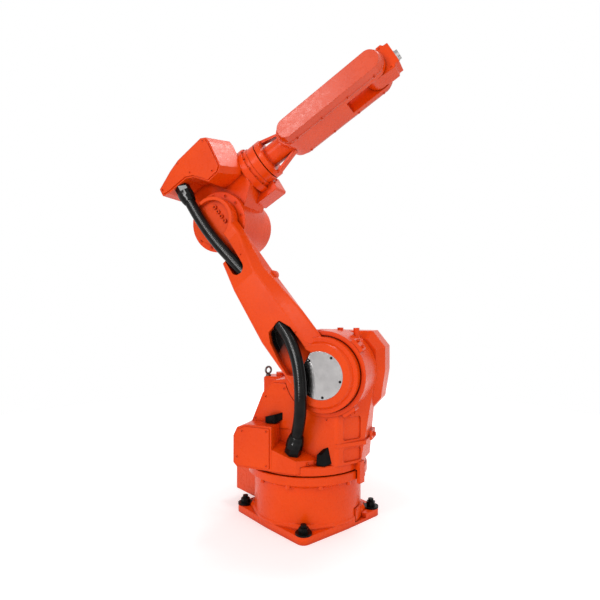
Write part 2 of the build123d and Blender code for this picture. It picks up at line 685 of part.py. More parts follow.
# Lifting eye, with its hole along X
EYE_MIDDLE = AHEAD * -EYE_PLACE + UP * (MOTOR_TOP + EYE_LIFT + EYE_RADIUS)
with BuildPart() as lifting_eye:
    with BuildSketch(Plane(origin=EYE_MIDDLE, x_dir=(1, 0, 0), z_dir=UP)):
        with Locations((0, EYE_RADIUS)):
            Circle(EYE_WIRE)
    revolve(axis=Axis(EYE_MIDDLE, (1, 0, 0)))
    with BuildSketch(level(MOTOR_TOP)):
        with Locations((-EYE_PLACE, 0)):
            Circle(EYE_COLLAR)
    extrude(amount=EYE_STEM)

with BuildPart() as upper_side_plate:
    with BuildSketch(turret_side(COLUMN_SIDE)):
        with BuildLine():
            FilletPolyline(
                (-COLUMN_REAR + PLATE_INSET, KNEE_HEIGHT),
                (-CROWN_KNEE + PLATE_INSET, CROWN_HEIGHT - CROWN_DROP - PLATE_INSET),
                (-CROWN_REAR, CROWN_HEIGHT - PLATE_INSET),
                (PLATE_FRONT, CROWN_HEIGHT - PLATE_INSET),
                (PLATE_FRONT, KNEE_HEIGHT),
                radius=[0, CROWN_ROUND, CROWN_ROUND, 0, 0],
                close=True,
            )
        make_face()
    extrude(amount=PLATE_THICKNESS)
    with BuildSketch(shoulder_side(COLUMN_SIDE)):
        Circle(HOUSING_RADIUS + SEAM)
    extrude(amount=PLATE_THICKNESS, mode=Mode.SUBTRACT)

# Cable box, wrapped round the rear edge of the column, with a flat cover
with BuildPart() as cable_box:
    with BuildSketch(turret_side(CABLE_BACK)):
        with BuildLine():
            Polyline(
                (-CABLE_REAR, CABLE_BOTTOM + CABLE_LOW_FALL),
                (-CABLE_REAR, CABLE_TOP - CABLE_TOP_FALL),
                (-CABLE_REAR + CABLE_BEVEL, CABLE_TOP - CABLE_TOP_SLOPE),
                (-CABLE_REAR + CABLE_BEVEL + CABLE_TOP_RUN, CABLE_TOP),
                (CABLE_SPLIT, CABLE_TOP),
                (CABLE_SPLIT, CABLE_BOTTOM),
                (-CABLE_REAR + CABLE_BEVEL, CABLE_BOTTOM),
                close=True,
            )
        make_face()
    extrude(amount=CABLE_FACE - CABLE_BACK)
    with BuildSketch(level(CABLE_BOTTOM)):
        with Locations((0, -COLUMN_SIDE / 2)):
            Rectangle(2 * COLUMN_REAR, COLUMN_SIDE)
        Circle(DISC_RADIUS + JOINT_GAP)
    extrude(amount=DISC_TOP - CABLE_BOTTOM, mode=Mode.SUBTRACT)
    with BuildSketch(level(DISC_TOP)):
        with Locations((0, -COLUMN_SIDE / 2)):
            Rectangle(2 * COLUMN_REAR, COLUMN_SIDE)
    extrude(amount=CABLE_TOP - DISC_TOP, mode=Mode.SUBTRACT)
    add(upper_side_plate.part, mode=Mode.SUBTRACT)

with BuildPart() as cable_box_plate:
    with BuildSketch(turret_side(CABLE_FACE)):
        with BuildLine():
            Polyline(
                (-CABLE_REAR + PLATE_INSET, CABLE_BOTTOM + CABLE_LOW_FALL + PLATE_INSET),
                (-CABLE_REAR + PLATE_INSET, CABLE_TOP - CABLE_TOP_FALL),
                (-CABLE_REAR + CABLE_BEVEL + PLATE_INSET / 2, CABLE_TOP - CABLE_TOP_SLOPE - PLATE_INSET),
                (-CABLE_REAR + CABLE_BEVEL + CABLE_TOP_RUN, CABLE_TOP - PLATE_INSET),
                (CABLE_SPLIT - PLATE_INSET, CABLE_TOP - PLATE_INSET),
                (CABLE_SPLIT - PLATE_INSET, CABLE_BOTTOM + PLATE_INSET),
                (-CABLE_REAR + CABLE_BEVEL + PLATE_INSET / 2, CABLE_BOTTOM + PLATE_INSET),
                close=True,
            )
        make_face()
    extrude(amount=PLATE_THICKNESS)

# Gland block beside it, under a platform that slopes to the front and to the near side
with BuildPart() as gland_block:
    with BuildSketch(level(CABLE_BOTTOM)):
        with BuildLine():
            Polyline(
                (CABLE_SPLIT, -COLUMN_SIDE),
                (GLAND_BLOCK_END, -COLUMN_SIDE),
                (GLAND_BLOCK_CORNER, -CABLE_FACE),
                (CABLE_SPLIT, -CABLE_FACE),
                close=True,
            )
        make_face()
    extrude(amount=CABLE_TOP - CABLE_BOTTOM)
    split(bisect_by=Plane(origin=PLATFORM_MIDDLE, z_dir=PLATFORM_NORMAL), keep=Keep.BOTTOM)
    with BuildSketch(level(CABLE_BOTTOM)):
        Circle(DISC_RADIUS + JOINT_GAP)
    extrude(amount=DISC_TOP - CABLE_BOTTOM, mode=Mode.SUBTRACT)

with BuildPart() as shoulder_gland:
    with BuildSketch(Plane(origin=PLATFORM_MIDDLE, x_dir=SIDE, z_dir=PLATFORM_NORMAL)):
        RegularPolygon(GLAND_RADIUS, 6)
    extrude(amount=GLAND_HEX)
    with BuildSketch(Plane(origin=PLATFORM_MIDDLE, x_dir=SIDE, z_dir=PLATFORM_NORMAL)):
        Circle(GLAND_COLLAR)
    extrude(amount=GLAND_LENGTH)

# Rubber stops: wedges that narrow towards the near side
with BuildPart() as rear_bumper:
    for depth, outline in ((0, REAR_BUMPER_FOOT), (BUMPER_DEPTH, REAR_BUMPER_FACE)):
        with BuildSketch(turret_side(COLUMN_SIDE + PLATE_THICKNESS + depth)):
            with BuildLine():
                Polyline(*outline, close=True)
            make_face()
    loft(ruled=True)

with BuildPart() as front_bumper:
    for depth, outline in ((0, FRONT_BUMPER_FOOT), (BUMPER_DEPTH, FRONT_BUMPER_FACE)):
        with BuildSketch(turret_side(COLUMN_SIDE + depth)):
            with BuildLine():
                Polyline(*outline, close=True)
            make_face()
    loft(ruled=True)

# Lower arm: a casting lofted through sections that step inwards from the shoulder to the elbow
ARM_STATIONS = (
    (0, ARM_FRONT, ARM_WAIST, ARM_RIDGE, ARM_REAR, ARM_FACE),
    (ARM_STRAIGHT, ARM_FRONT, ARM_WAIST, ARM_RIDGE, ARM_REAR, ARM_FACE),
    (ARM_LENGTH - STEP_START, STEP_FRONT, STEP_WAIST, ARM_RIDGE, STEP_REAR, ARM_FACE),
    (ARM_LENGTH - STEP_END, TOP_FRONT, TOP_WAIST, TOP_RIDGE, TOP_REAR, TOP_FACE),
    (ARM_LENGTH, TOP_FRONT, TOP_WAIST, TOP_RIDGE, TOP_REAR, TOP_FACE),
)
with BuildPart() as lower_arm_casting:
    for reach, front, waist, ridge, rear, face in ARM_STATIONS:
        with BuildSketch(arm_section(reach)):
            with BuildLine():
                FilletPolyline(
                    (-front, ARM_BACK),
                    (rear - ARM_DRAFT, ARM_BACK),
                    (rear, face),
                    (-ridge, face),
                    (-waist, face - WAIST_DEPTH),
                    radius=ARM_ROUND,
                    close=True,
                )
            make_face()
    loft(ruled=True)
    with BuildSketch(arm_side(ARM_BACK)):
        with Locations((ARM_LENGTH, 0)):
            Circle(TOP_RADIUS)
    extrude(amount=TOP_FACE - ARM_BACK)
    with BuildSketch(arm_side(BOSS_BACK)):
        with Locations((BOSS_PLACE, -STEP_FRONT + BOSS_RADIUS / 2)):
            Circle(BOSS_RADIUS)
    extrude(amount=BOSS_LENGTH)
    with BuildSketch(arm_side(ARM_BACK)):
        Circle(RELIEF_RADIUS)
    extrude(amount=ARM_INSIDE - ARM_BACK, mode=Mode.SUBTRACT)
    with BuildSketch(arm_side(RING_SIDE + SEAT)):
        Circle(ARM_RING_RADIUS)
    extrude(amount=RING_FACE - RING_SIDE - SEAT)
    with BuildSketch(arm_side(RING_FACE)):
        Circle(RIM_RADIUS + RIM_ROUND)
    extrude(amount=RIM_FACE - RING_FACE, taper=RIM_TAPER)
    with BuildSketch(arm_side(ARM_INSIDE)) as flare:
        Circle(RIM_RADIUS)
        with Locations((ARM_STRAIGHT / 2, -FLARE_EDGE)):
            Rectangle(ARM_STRAIGHT, ARM_REAR, align=(Align.CENTER, Align.MIN))
        fillet(flare.vertices().sort_by(Axis.Y)[:2].sort_by(Axis.X)[0], FLARE_RADIUS)
    extrude(amount=ARM_FACE - ARM_INSIDE)
    with BuildSketch(arm_side(CAP_SEAT)):
        Circle(CAP_RADIUS + JOINT_GAP)
    extrude(amount=RIM_FACE - CAP_SEAT, mode=Mode.SUBTRACT)
    with BuildSketch(arm_side(POCKET_FLOOR)):
        with BuildLine():
            FilletPolyline(*POCKET, radius=POCKET_ROUND, close=True)
        make_face()
        with Locations(Rotation(0, 0, CAP_TURN)):
            with Locations((CAP_CHORD - CAP_RADIUS, 0)):
                Rectangle(2 * CAP_RADIUS, 4 * CAP_RADIUS, mode=Mode.SUBTRACT)
    extrude(amount=ARM_FACE, mode=Mode.SUBTRACT)
    with BuildSketch(arm_side(WELL_FLOOR)):
        with BuildLine():
            FilletPolyline(*POCKET, radius=POCKET_ROUND, close=True)
        make_face()
        Circle(RELIEF_RADIUS + WELL_WALL, mode=Mode.SUBTRACT)
    extrude(amount=ARM_FACE, mode=Mode.SUBTRACT)
    with BuildSketch(arm_side(TOP_FLOOR)):
        with Locations((ARM_LENGTH, 0)):
            Circle(TOP_RADIUS - TOP_RIM)
        with Locations((ARM_LENGTH, TOP_RADIUS)):
            Rectangle(2 * TOP_RADIUS, 2 * TOP_RADIUS)
        with Locations((ARM_LENGTH - RECESS_START / 2, SLOT_MIDDLE + TOP_RADIUS)):
            Rectangle(RECESS_START, 2 * TOP_RADIUS)
        with Locations((ARM_LENGTH - SLOT_END / 2, SLOT_MIDDLE)):
            SlotOverall(SLOT_END + SLOT_WIDTH / 2, SLOT_WIDTH)
    extrude(amount=ARM_FACE, mode=Mode.SUBTRACT)
    for route in (SHOULDER_ROUTE, ELBOW_ROUTE):
        with BuildSketch(end_plane(route)):
            Circle(HOSE_RADIUS + HOSE_CLEARANCE)
        extrude(amount=-BORE_DEPTH, mode=Mode.SUBTRACT)

with BuildPart() as shoulder_cap:
    with BuildSketch(arm_side(CAP_SEAT)):
        Circle(CAP_RADIUS)
        with Locations(Rotation(0, 0, CAP_TURN)):
            with Locations((CAP_CHORD + CAP_RADIUS, 0)):
                Rectangle(2 * CAP_RADIUS, 4 * CAP_RADIUS, mode=Mode.SUBTRACT)
    extrude(amount=CAP_THICKNESS)

with BuildPart() as shoulder_hose:
    with BuildLine() as shoulder_path:
        FilletPolyline(*SHOULDER_ROUTE, radius=hose_radii(SHOULDER_ROUTE))
    with BuildSketch(Plane(origin=SHOULDER_ROUTE[0], z_dir=PLATFORM_NORMAL)):
        Circle(HOSE_RADIUS)
    sweep(path=shoulder_path.wire())

# Elbow casting: drum with its bolted ring, body, flanged collar and neck, motor housing
with BuildPart() as elbow_casting:
    with BuildSketch(elbow_side(ELBOW_FAR)):
        Circle(ELBOW_RADIUS)
    extrude(amount=ELBOW_FACE - ELBOW_FAR)
    chamfer(elbow_casting.faces().sort_by(ACROSS)[0].edges(), ELBOW_BEVEL)
    with BuildSketch(elbow_side(ELBOW_FACE - ELBOW_RING_WIDTH)):
        Circle(ELBOW_RING_RADIUS)
    extrude(amount=ELBOW_RING_WIDTH)
    with BuildSketch(elbow_side(ELBOW_FACE)):
        Circle(ELBOW_HUB_RADIUS)
    extrude(amount=SWEEP - SEAT)
    with BuildSketch(elbow_side(-BLOCK_HALF_WIDTH)):
        with BuildLine():
            FilletPolyline(*BLOCK, radius=BLOCK_ROUND, close=True)
        make_face()
    extrude(amount=2 * BLOCK_HALF_WIDTH)
    with BuildSketch(along()):
        with BuildLine():
            Polyline(
                (0, 0),
                (0, NECK_RADIUS),
                (COLLAR_START, NECK_RADIUS),
                (COLLAR_START, COLLAR_RADIUS),
                (COLLAR_END, COLLAR_RADIUS),
                (COLLAR_END, NECK_RADIUS + NECK_LIP),
                (NECK_LIP_END, NECK_RADIUS + NECK_LIP),
                (NECK_LIP_END, NECK_RADIUS),
                (NECK_END, NECK_RADIUS),
                (NECK_END, NECK_HUB_RADIUS),
                (ROOT_START - SEAT, NECK_HUB_RADIUS),
                (ROOT_START - SEAT, 0),
                close=True,
            )
        make_face()
    revolve(axis=FOREARM_AXIS)
    with BuildSketch(elbow_side(ROLL_MOTOR_FAR)):
        with Locations((sum(ROLL_MOTOR) / 2, (ROLL_MOTOR_LOW + ROLL_MOTOR_HIGH) / 2)):
            RectangleRounded(
                ROLL_MOTOR[1] - ROLL_MOTOR[0], ROLL_MOTOR_HIGH - ROLL_MOTOR_LOW, ROLL_MOTOR_BEVEL
            )
    extrude(amount=ROLL_MOTOR_NEAR - ROLL_MOTOR_FAR)

# Side box over the elbow: its front slants back from the near face
with BuildPart() as elbow_box:
    for side, shift in ((BLOCK_HALF_WIDTH, SIDE_BOX_SLANT), (SIDE_BOX_FACE, 0)):
        with BuildSketch(elbow_side(side)):
            with BuildLine():
                front = [(reach + shift, height) for reach, height in SIDE_BOX_FRONT]
                Polyline(*front, *SIDE_BOX_REST, close=True)
            make_face()
    loft(ruled=True)
    with BuildSketch(section(COLLAR_START - JOINT_GAP)):
        Circle(COLLAR_RADIUS + JOINT_GAP)
    extrude(amount=NECK_END - COLLAR_START, mode=Mode.SUBTRACT)

with BuildPart() as elbow_panel:
    with BuildSketch(elbow_side(SIDE_BOX_FACE)):
        with BuildLine():
            Polyline(*SIDE_BOX_FRONT, *SIDE_BOX_REST, close=True)
        make_face()
        offset(amount=-SIDE_PANEL_INSET, kind=Kind.INTERSECTION, mode=Mode.REPLACE)
    extrude(amount=SIDE_PANEL_THICKNESS)

with BuildPart() as elbow_gland:
    with BuildSketch(Plane(origin=ELBOW_GLAND_FOOT, x_dir=SIDE, z_dir=ELBOW_GLAND_WAY)):
        RegularPolygon(GLAND_RADIUS, 6)
    extrude(amount=GLAND_HEX)
    with BuildSketch(Plane(origin=ELBOW_GLAND_FOOT, x_dir=SIDE, z_dir=ELBOW_GLAND_WAY)):
        Circle(GLAND_COLLAR)
    extrude(amount=GLAND_LENGTH)

with BuildPart() as elbow_hose:
    with BuildLine() as elbow_path:
        FilletPolyline(*ELBOW_ROUTE, radius=hose_radii(ELBOW_ROUTE))
    with BuildSketch(Plane(origin=ELBOW_ROUTE[0], z_dir=ELBOW_GLAND_WAY)):
        Circle(HOSE_RADIUS)
    sweep(path=elbow_path.wire())

# Forearm casting: ring and stem with two open struts, then a slim housing forked for the wrist
BODY_END = WRIST_REACH + BODY_HALF_HEIGHT
with BuildPart() as forearm_housing:
    with BuildSketch(section(ROOT_START)):
        Circle(NECK_RADIUS)
    extrude(amount=ROOT_WIDTH)
    with BuildSketch(section(ROOT_START)):
        Circle(STEM_RADIUS)
    extrude(amount=STRUT_END - ROOT_START)
    with BuildSketch(along(-STRUT_HALF_WIDTH)):
        with BuildLine():
            Polyline(
                (ROOT_START + ROOT_WIDTH / 2, NECK_RADIUS),
                (ROOT_START + ROOT_WIDTH, NECK_RADIUS),
                (STRUT_END, BODY_HALF_HEIGHT),
                (STRUT_END, BODY_HALF_HEIGHT - STRUT_THICKNESS),
                (ROOT_START + ROOT_WIDTH / 2, NECK_RADIUS - STRUT_THICKNESS),
                close=True,
            )
        make_face()
        mirror(about=Plane.XZ)
    extrude(amount=2 * STRUT_HALF_WIDTH)
    with BuildSketch(along(-BODY_HALF_WIDTH)):
        with Locations(((BODY_START + BODY_END) / 2, 0)):
            SlotOverall(BODY_END - BODY_START, 2 * BODY_HALF_HEIGHT)
    extrude(amount=2 * BODY_HALF_WIDTH)
    with BuildSketch(section(WRIST_REACH - FORK_DEPTH)):
        Rectangle(2 * FORK_HALF_GAP, 4 * BODY_HALF_HEIGHT)
    extrude(amount=2 * FORK_DEPTH, mode=Mode.SUBTRACT)
    with BuildSketch(wrist_side(-FORK_HALF_GAP - PIN_DEPTH - SEAT)):
        Circle(PIN_RADIUS + SEAT)
    extrude(amount=2 * (FORK_HALF_GAP + PIN_DEPTH + SEAT), mode=Mode.SUBTRACT)

# Covers of the forearm: a flange with screw lugs under a bevelled racetrack
COVER_LENGTH = BODY_END - COVER_START
COVER_LUG_PITCH = (COVER_LENGTH - 2 * COVER_LUG_MARGIN) / (COVER_LUGS - 1)
with BuildPart() as forearm_near_cover:
    with BuildSketch(along(BODY_HALF_WIDTH)):
        with Locations(((COVER_START + BODY_END) / 2, 0)):
            SlotOverall(COVER_LENGTH, 2 * BODY_HALF_HEIGHT)
            with GridLocations(COVER_LUG_PITCH, 2 * (BODY_HALF_HEIGHT - COVER_LIP), COVER_LUGS, 2):
                Circle(COVER_LUG_RADIUS)
    extrude(amount=COVER_FLANGE)
    with BuildSketch(along(BODY_HALF_WIDTH + COVER_FLANGE)):
        with Locations(((COVER_START + BODY_END) / 2, 0)):
            SlotOverall(COVER_LENGTH - 2 * COVER_LIP, 2 * (BODY_HALF_HEIGHT - COVER_LIP))
    extrude(amount=COVER_FACE - BODY_HALF_WIDTH - COVER_FLANGE, taper=COVER_TAPER)

with BuildPart() as forearm_far_cover:
    add(forearm_near_cover.part)
    mirror(about=along(), mode=Mode.REPLACE)

# Wrist: hub and blocky nose between the prongs, turning on two pins
with BuildPart() as wrist_housing:
    with BuildSketch(wrist_side(-WRIST_HALF_WIDTH)):
        Circle(WRIST_RADIUS)
        with BuildLine():
            FilletPolyline(*WRIST_NOSE, radius=WRIST_ROUND, close=True)
        make_face()
    extrude(amount=2 * WRIST_HALF_WIDTH)
    with BuildSketch(wrist_side(-FORK_HALF_GAP - PIN_DEPTH)):
        Circle(PIN_RADIUS)
    extrude(amount=2 * (FORK_HALF_GAP + PIN_DEPTH))

with BuildPart() as tool_flange:
    with BuildSketch(section(WRIST_REACH + WRIST_FACE + SEAT)):
        Circle(FLANGE_RADIUS)
    extrude(amount=FLANGE_RIM)
    with BuildSketch(section(WRIST_REACH + FLANGE_REACH)):
        Circle(FLANGE_NECK)
    extrude(amount=-FLANGE_REACH + WRIST_FACE + SEAT)
    with BuildSketch(section(WRIST_REACH + FLANGE_REACH)):
        Circle(PILOT_RADIUS)
    extrude(amount=-PILOT_DEPTH, mode=Mode.SUBTRACT)
    with BuildSketch(section(WRIST_REACH + FLANGE_REACH)):
        with PolarLocations(FLANGE_PITCH / 2, FLANGE_HOLES, start_angle=45):
            Circle(FLANGE_HOLE)
    extrude(amount=-FLANGE_REACH + WRIST_FACE + SEAT, mode=Mode.SUBTRACT)

for name, route, path in (
    ("shoulder hose", SHOULDER_ROUTE, shoulder_path),
    ("elbow hose", ELBOW_ROUTE, elbow_path),
):
    print(name, "length", round(path.wire().length, 1), "radii", [round(r) for r in hose_radii(route)])

os.makedirs("parts", exist_ok=True)
for name, piece in {
    "base_casting": base_casting,
    "base_port_plate": base_port_plate,
    "connector_box": connector_box,
    "anchor_bolts": anchor_bolts,
    "turret_casting": turret_casting,
    "shoulder_gear_cover": shoulder_gear_cover,
    "swivel_motor": swivel_motor,
    "lifting_eye": lifting_eye,
    "upper_side_plate": upper_side_plate,
    "cable_box": cable_box,
    "cable_box_plate": cable_box_plate,
    "gland_block": gland_block,
    "shoulder_gland": shoulder_gland,
    "rear_bumper": rear_bumper,
    "front_bumper": front_bumper,
    "lower_arm_casting": lower_arm_casting,
    "shoulder_cap": shoulder_cap,
    "shoulder_hose": shoulder_hose,
    "elbow_casting": elbow_casting,
    "elbow_box": elbow_box,
    "elbow_panel": elbow_panel,
    "elbow_gland": elbow_gland,
    "elbow_hose": elbow_hose,
    "forearm_housing": forearm_housing,
    "forearm_near_cover": forearm_near_cover,
    "forearm_far_cover": forearm_far_cover,
    "wrist_housing": wrist_housing,
    "tool_flange": tool_flange,
}.items():
    piece.part.label = name
    export_step(piece.part, f"parts/{name}.step")
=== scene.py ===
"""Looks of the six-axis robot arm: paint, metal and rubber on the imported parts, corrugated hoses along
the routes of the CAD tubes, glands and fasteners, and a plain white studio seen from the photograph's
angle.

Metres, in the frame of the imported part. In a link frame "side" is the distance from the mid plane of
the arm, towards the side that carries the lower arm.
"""

import json
from math import cos, pi, radians, sin

import bpy
from mathutils import Matrix, Vector


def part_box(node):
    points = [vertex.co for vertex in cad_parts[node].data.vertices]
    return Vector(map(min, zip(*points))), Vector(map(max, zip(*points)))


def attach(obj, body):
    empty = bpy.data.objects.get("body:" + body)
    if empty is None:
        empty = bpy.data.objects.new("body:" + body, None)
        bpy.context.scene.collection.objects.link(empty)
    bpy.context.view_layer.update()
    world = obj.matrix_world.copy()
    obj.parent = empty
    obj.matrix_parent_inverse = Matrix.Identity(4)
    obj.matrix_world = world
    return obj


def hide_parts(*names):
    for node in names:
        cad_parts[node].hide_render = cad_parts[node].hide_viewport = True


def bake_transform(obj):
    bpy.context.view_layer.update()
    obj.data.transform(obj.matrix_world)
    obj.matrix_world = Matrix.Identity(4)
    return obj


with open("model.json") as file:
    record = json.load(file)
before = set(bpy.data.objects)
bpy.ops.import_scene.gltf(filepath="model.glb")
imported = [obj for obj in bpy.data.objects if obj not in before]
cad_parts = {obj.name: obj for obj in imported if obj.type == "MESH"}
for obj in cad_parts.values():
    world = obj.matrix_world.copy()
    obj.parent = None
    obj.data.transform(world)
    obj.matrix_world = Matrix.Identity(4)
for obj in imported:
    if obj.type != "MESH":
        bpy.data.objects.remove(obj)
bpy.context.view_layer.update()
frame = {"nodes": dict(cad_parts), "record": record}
nodes = frame["nodes"]

# Link frames, read from the joints
joints = {joint["name"]: joint for joint in frame["record"]["behaviour"]["joints"]}
LINK_JOINTS = ("shoulder_tilt", "elbow_tilt", "forearm_roll", "wrist_bend", "flange_roll")
SHOULDER, ELBOW, FOREARM, WRIST, FLANGE = (Vector(joints[name]["pos_m"]) for name in LINK_JOINTS)
ORIGIN = Vector((0, 0, 0))
UP = Vector((0, 0, 1))
SIDE = Vector(joints["elbow_tilt"]["axis"]).normalized()
AHEAD = UP.cross(SIDE)
ARM_ALONG = (ELBOW - SHOULDER).normalized()
ARM_REAR = SIDE.cross(ARM_ALONG)
ARM_LENGTH = (ELBOW - SHOULDER).length
FORE_ALONG = Vector(joints["flange_roll"]["axis"]).normalized()
FORE_UP = SIDE.cross(FORE_ALONG)


def turret_point(ahead, side, height):
    """Point in the turret's frame, which stands on the floor."""
    return AHEAD * ahead + SIDE * side + UP * height


def arm_point(reach, rear, side=0.0):
    """Point in the lower arm's frame: reach from the shoulder towards the elbow."""
    return SHOULDER + ARM_ALONG * reach + ARM_REAR * rear + SIDE * side


def elbow_point(along, square, side=0.0):
    """Point in the elbow's frame: along the forearm and square to it."""
    return ELBOW + FORE_ALONG * along + FORE_UP * square + SIDE * side


def forearm_point(along, square):
    """Point in the forearm's mid plane: along its roll axis and square to it."""
    return FOREARM + FORE_ALONG * along + FORE_UP * square


# Materials

# Orange paint: shine of the castings and of the smoother covers, and the two ends of each one's colour
PAINT_SHINE = 0.2
PAINT_DARK = (0.80, 0.056, 0.0008)
PAINT_LIGHT = (0.87, 0.068, 0.0016)
COVER_SHINE = 0.55
COVER_DARK = (0.70, 0.049, 0.0008)
COVER_LIGHT = (0.76, 0.058, 0.0014)
# Painted shade: colour of the paint in its recesses, and how far from the faces round a place that
# darkening reaches
RECESS_SHADE = (0.30, 0.010, 0.0004)
RECESS_SHADE_REACH = 0.035

# Painted shade, near black, in the deep end of the lower arm's cable pocket. Each pair is the level where
# the
# # painted shade starts and the level where it is full.
POCKET_SHADE = (0.006, 0.004, 0.0035)
POCKET_DEPTH = (0.190, 0.172)             # side
POCKET_NEAR_HALF = (0.141, 0.144)         # side
POCKET_FACING = (-0.3, -0.1)              # how far a face looks to the side
POCKET_LOWER_END = (0.09, 0.18)           # reach
POCKET_UPPER_END = (0.250, 0.242)         # reach
POCKET_FRONT = (-0.034, -0.024)           # rear
POCKET_REAR = (0.100, 0.090)              # rear

# Blacks and metals: the two ends of each colour
RUBBER_COLOURS = ((0.001, 0.001, 0.001), (0.004, 0.0034, 0.0032))
BLACK_STEEL_COLOURS = ((0.0015, 0.0015, 0.0015), (0.005, 0.0045, 0.004))
DARK_METAL_COLOURS = ((0.10, 0.095, 0.095), (0.24, 0.225, 0.215))
CAP_COLOURS = ((0.36, 0.345, 0.345), (0.42, 0.405, 0.40))
FLANGE_COLOURS = ((0.34, 0.33, 0.325), (0.46, 0.45, 0.44))
BLACK_COLOURS = ((0.0008, 0.0008, 0.0008), (0.0026, 0.0023, 0.0022))

OCCLUSION_SAMPLES = 8
BEVEL_SAMPLES = 6

# Sockets of the mix node for colours, by number because their names repeat
MIX_SHARE = 0
MIX_COLOUR = 6
MIX_OTHER = 7
MIX_RESULT = 2


class Shader:
    """A material with one Principled shader, and short calls for its nodes."""

    def __init__(self, name):
        self.material = bpy.data.materials.new(name)
        self.material.use_nodes = True
        self.tree = self.material.node_tree
        self.surface = self.tree.nodes["Principled BSDF"]
        coordinates = self.node("ShaderNodeTexCoord")
        self.place = coordinates.outputs["Object"]
        self.facing = coordinates.outputs["Normal"]

    def node(self, kind, **properties):
        """A new node with some of its properties set."""
        made = self.tree.nodes.new(kind)
        for key, value in properties.items():
            setattr(made, key, value)
        return made

    def link(self, output, target):
        self.tree.links.new(output, target)

    def set(self, socket, value):
        """A constant on one of the shader's own sockets."""
        self.surface.inputs[socket].default_value = value

    def noise(self, scale, detail, roughness=0.5):
        """Cloudy noise over the piece."""
        made = self.node("ShaderNodeTexNoise")
        made.inputs["Scale"].default_value = scale
        made.inputs["Detail"].default_value = detail
        made.inputs["Roughness"].default_value = roughness
        self.link(self.place, made.inputs["Vector"])
        return made.outputs["Fac"]

    def ramp(self, value, low, high, start=0.35, end=0.65):
        """Two colours, or two grey levels, along a value."""
        made = self.node("ShaderNodeValToRGB")
        for stop, place, colour in zip(made.color_ramp.elements, (start, end), (low, high)):
            stop.position = place
            stop.color = (*colour, 1) if isinstance(colour, tuple) else (colour, colour, colour, 1)
        self.link(value, made.inputs["Fac"])
        return made.outputs["Color"]

    def bump(self, height, distance, strength, normal=None):
        """Faces tilted by a height, over a normal that was already worked out."""
        made = self.node("ShaderNodeBump")
        made.inputs["Strength"].default_value = strength
        made.inputs["Distance"].default_value = distance
        self.link(height, made.inputs["Height"])
        if normal:
            self.link(normal, made.inputs["Normal"])
        return made.outputs["Normal"]

    def mix(self, share, colour, other):
        """A colour with a share of another, constant one."""
        made = self.node("ShaderNodeMix", data_type="RGBA")
        self.link(share, made.inputs[MIX_SHARE])
        self.link(colour, made.inputs[MIX_COLOUR])
        made.inputs[MIX_OTHER].default_value = (*other, 1)
        return made.outputs[MIX_RESULT]

    def with_recess_shade(self, clean, shade_colour, distance):
        """A colour with painted shade in the recesses, out to a distance from the faces round them."""
        open_air = self.node("ShaderNodeAmbientOcclusion", samples=OCCLUSION_SAMPLES)
        open_air.inputs["Distance"].default_value = distance
        share = self.ramp(open_air.outputs["AO"], low=1.0, high=0.0, start=0.15, end=0.75)
        return self.mix(share, clean, shade_colour)

    def fade(self, vector, way, levels, origin=ORIGIN):
        """A value that goes from 0 to 1 between two levels of a vector along a direction."""
        reach = self.node("ShaderNodeVectorMath", operation="DOT_PRODUCT")
        self.link(vector, reach.inputs[0])
        reach.inputs[1].default_value = way
        made = self.node("ShaderNodeMapRange", interpolation_type="SMOOTHSTEP")
        self.link(reach.outputs["Value"], made.inputs["Value"])
        for socket, level in zip(("From Min", "From Max"), levels):
            made.inputs[socket].default_value = level + origin.dot(way)
        return made.outputs["Result"]

    def product(self, values):
        """Several values multiplied together."""
        total, *others = values
        for other in others:
            made = self.node("ShaderNodeMath", operation="MULTIPLY")
            self.link(total, made.inputs[0])
            self.link(other, made.inputs[1])
            total = made.outputs["Value"]
        return total

    def soft_edges(self, radius):
        """A normal that rounds the edges by a radius."""
        made = self.node("ShaderNodeBevel", samples=BEVEL_SAMPLES)
        made.inputs["Radius"].default_value = radius
        return made.outputs["Normal"]

    def local(self, origin, axis):
        """Coordinates with the origin on an axis and z along it."""
        made = self.node("ShaderNodeMapping", vector_type="TEXTURE")
        made.inputs["Location"].default_value = origin
        made.inputs["Rotation"].default_value = axis.to_track_quat("Z", "Y").to_euler()
        self.link(self.place, made.inputs["Vector"])
        return made.outputs["Vector"]

    def around(self, origin, axis):
        """Direction round an axis, at each place."""
        arm = self.node("ShaderNodeVectorMath", operation="SUBTRACT")
        self.link(self.place, arm.inputs[0])
        arm.inputs[1].default_value = origin
        turn = self.node("ShaderNodeVectorMath", operation="CROSS_PRODUCT")
        turn.inputs[0].default_value = axis
        self.link(arm.outputs[0], turn.inputs[1])
        made = self.node("ShaderNodeVectorTransform", vector_type="VECTOR")
        made.convert_from = "OBJECT"
        made.convert_to = "WORLD"
        self.link(turn.outputs[0], made.inputs[0])
        return made.outputs[0]

    def finish(self, colour, roughness, normal):
        """The material, with what was worked out on its shader."""
        self.link(colour, self.surface.inputs["Base Color"])
        self.link(roughness, self.surface.inputs["Roughness"])
        self.link(normal, self.surface.inputs["Normal"])
        return self.material


def pocket_shade_mask(shader):
    """Mask of the painted shade: 1 in the deep end of the cable pocket and 0 elsewhere on the lower arm."""
    return shader.product(
        [
            shader.fade(shader.place, SIDE, POCKET_DEPTH),
            shader.fade(shader.place, SIDE, POCKET_NEAR_HALF),
            shader.fade(shader.facing, SIDE, POCKET_FACING),
            shader.fade(shader.place, ARM_ALONG, POCKET_LOWER_END, SHOULDER),
            shader.fade(shader.place, ARM_REAR, POCKET_FRONT, SHOULDER),
            shader.fade(shader.place, ARM_REAR, POCKET_REAR, SHOULDER),
            shader.fade(shader.place, ARM_ALONG, POCKET_UPPER_END, SHOULDER),
        ]
    )


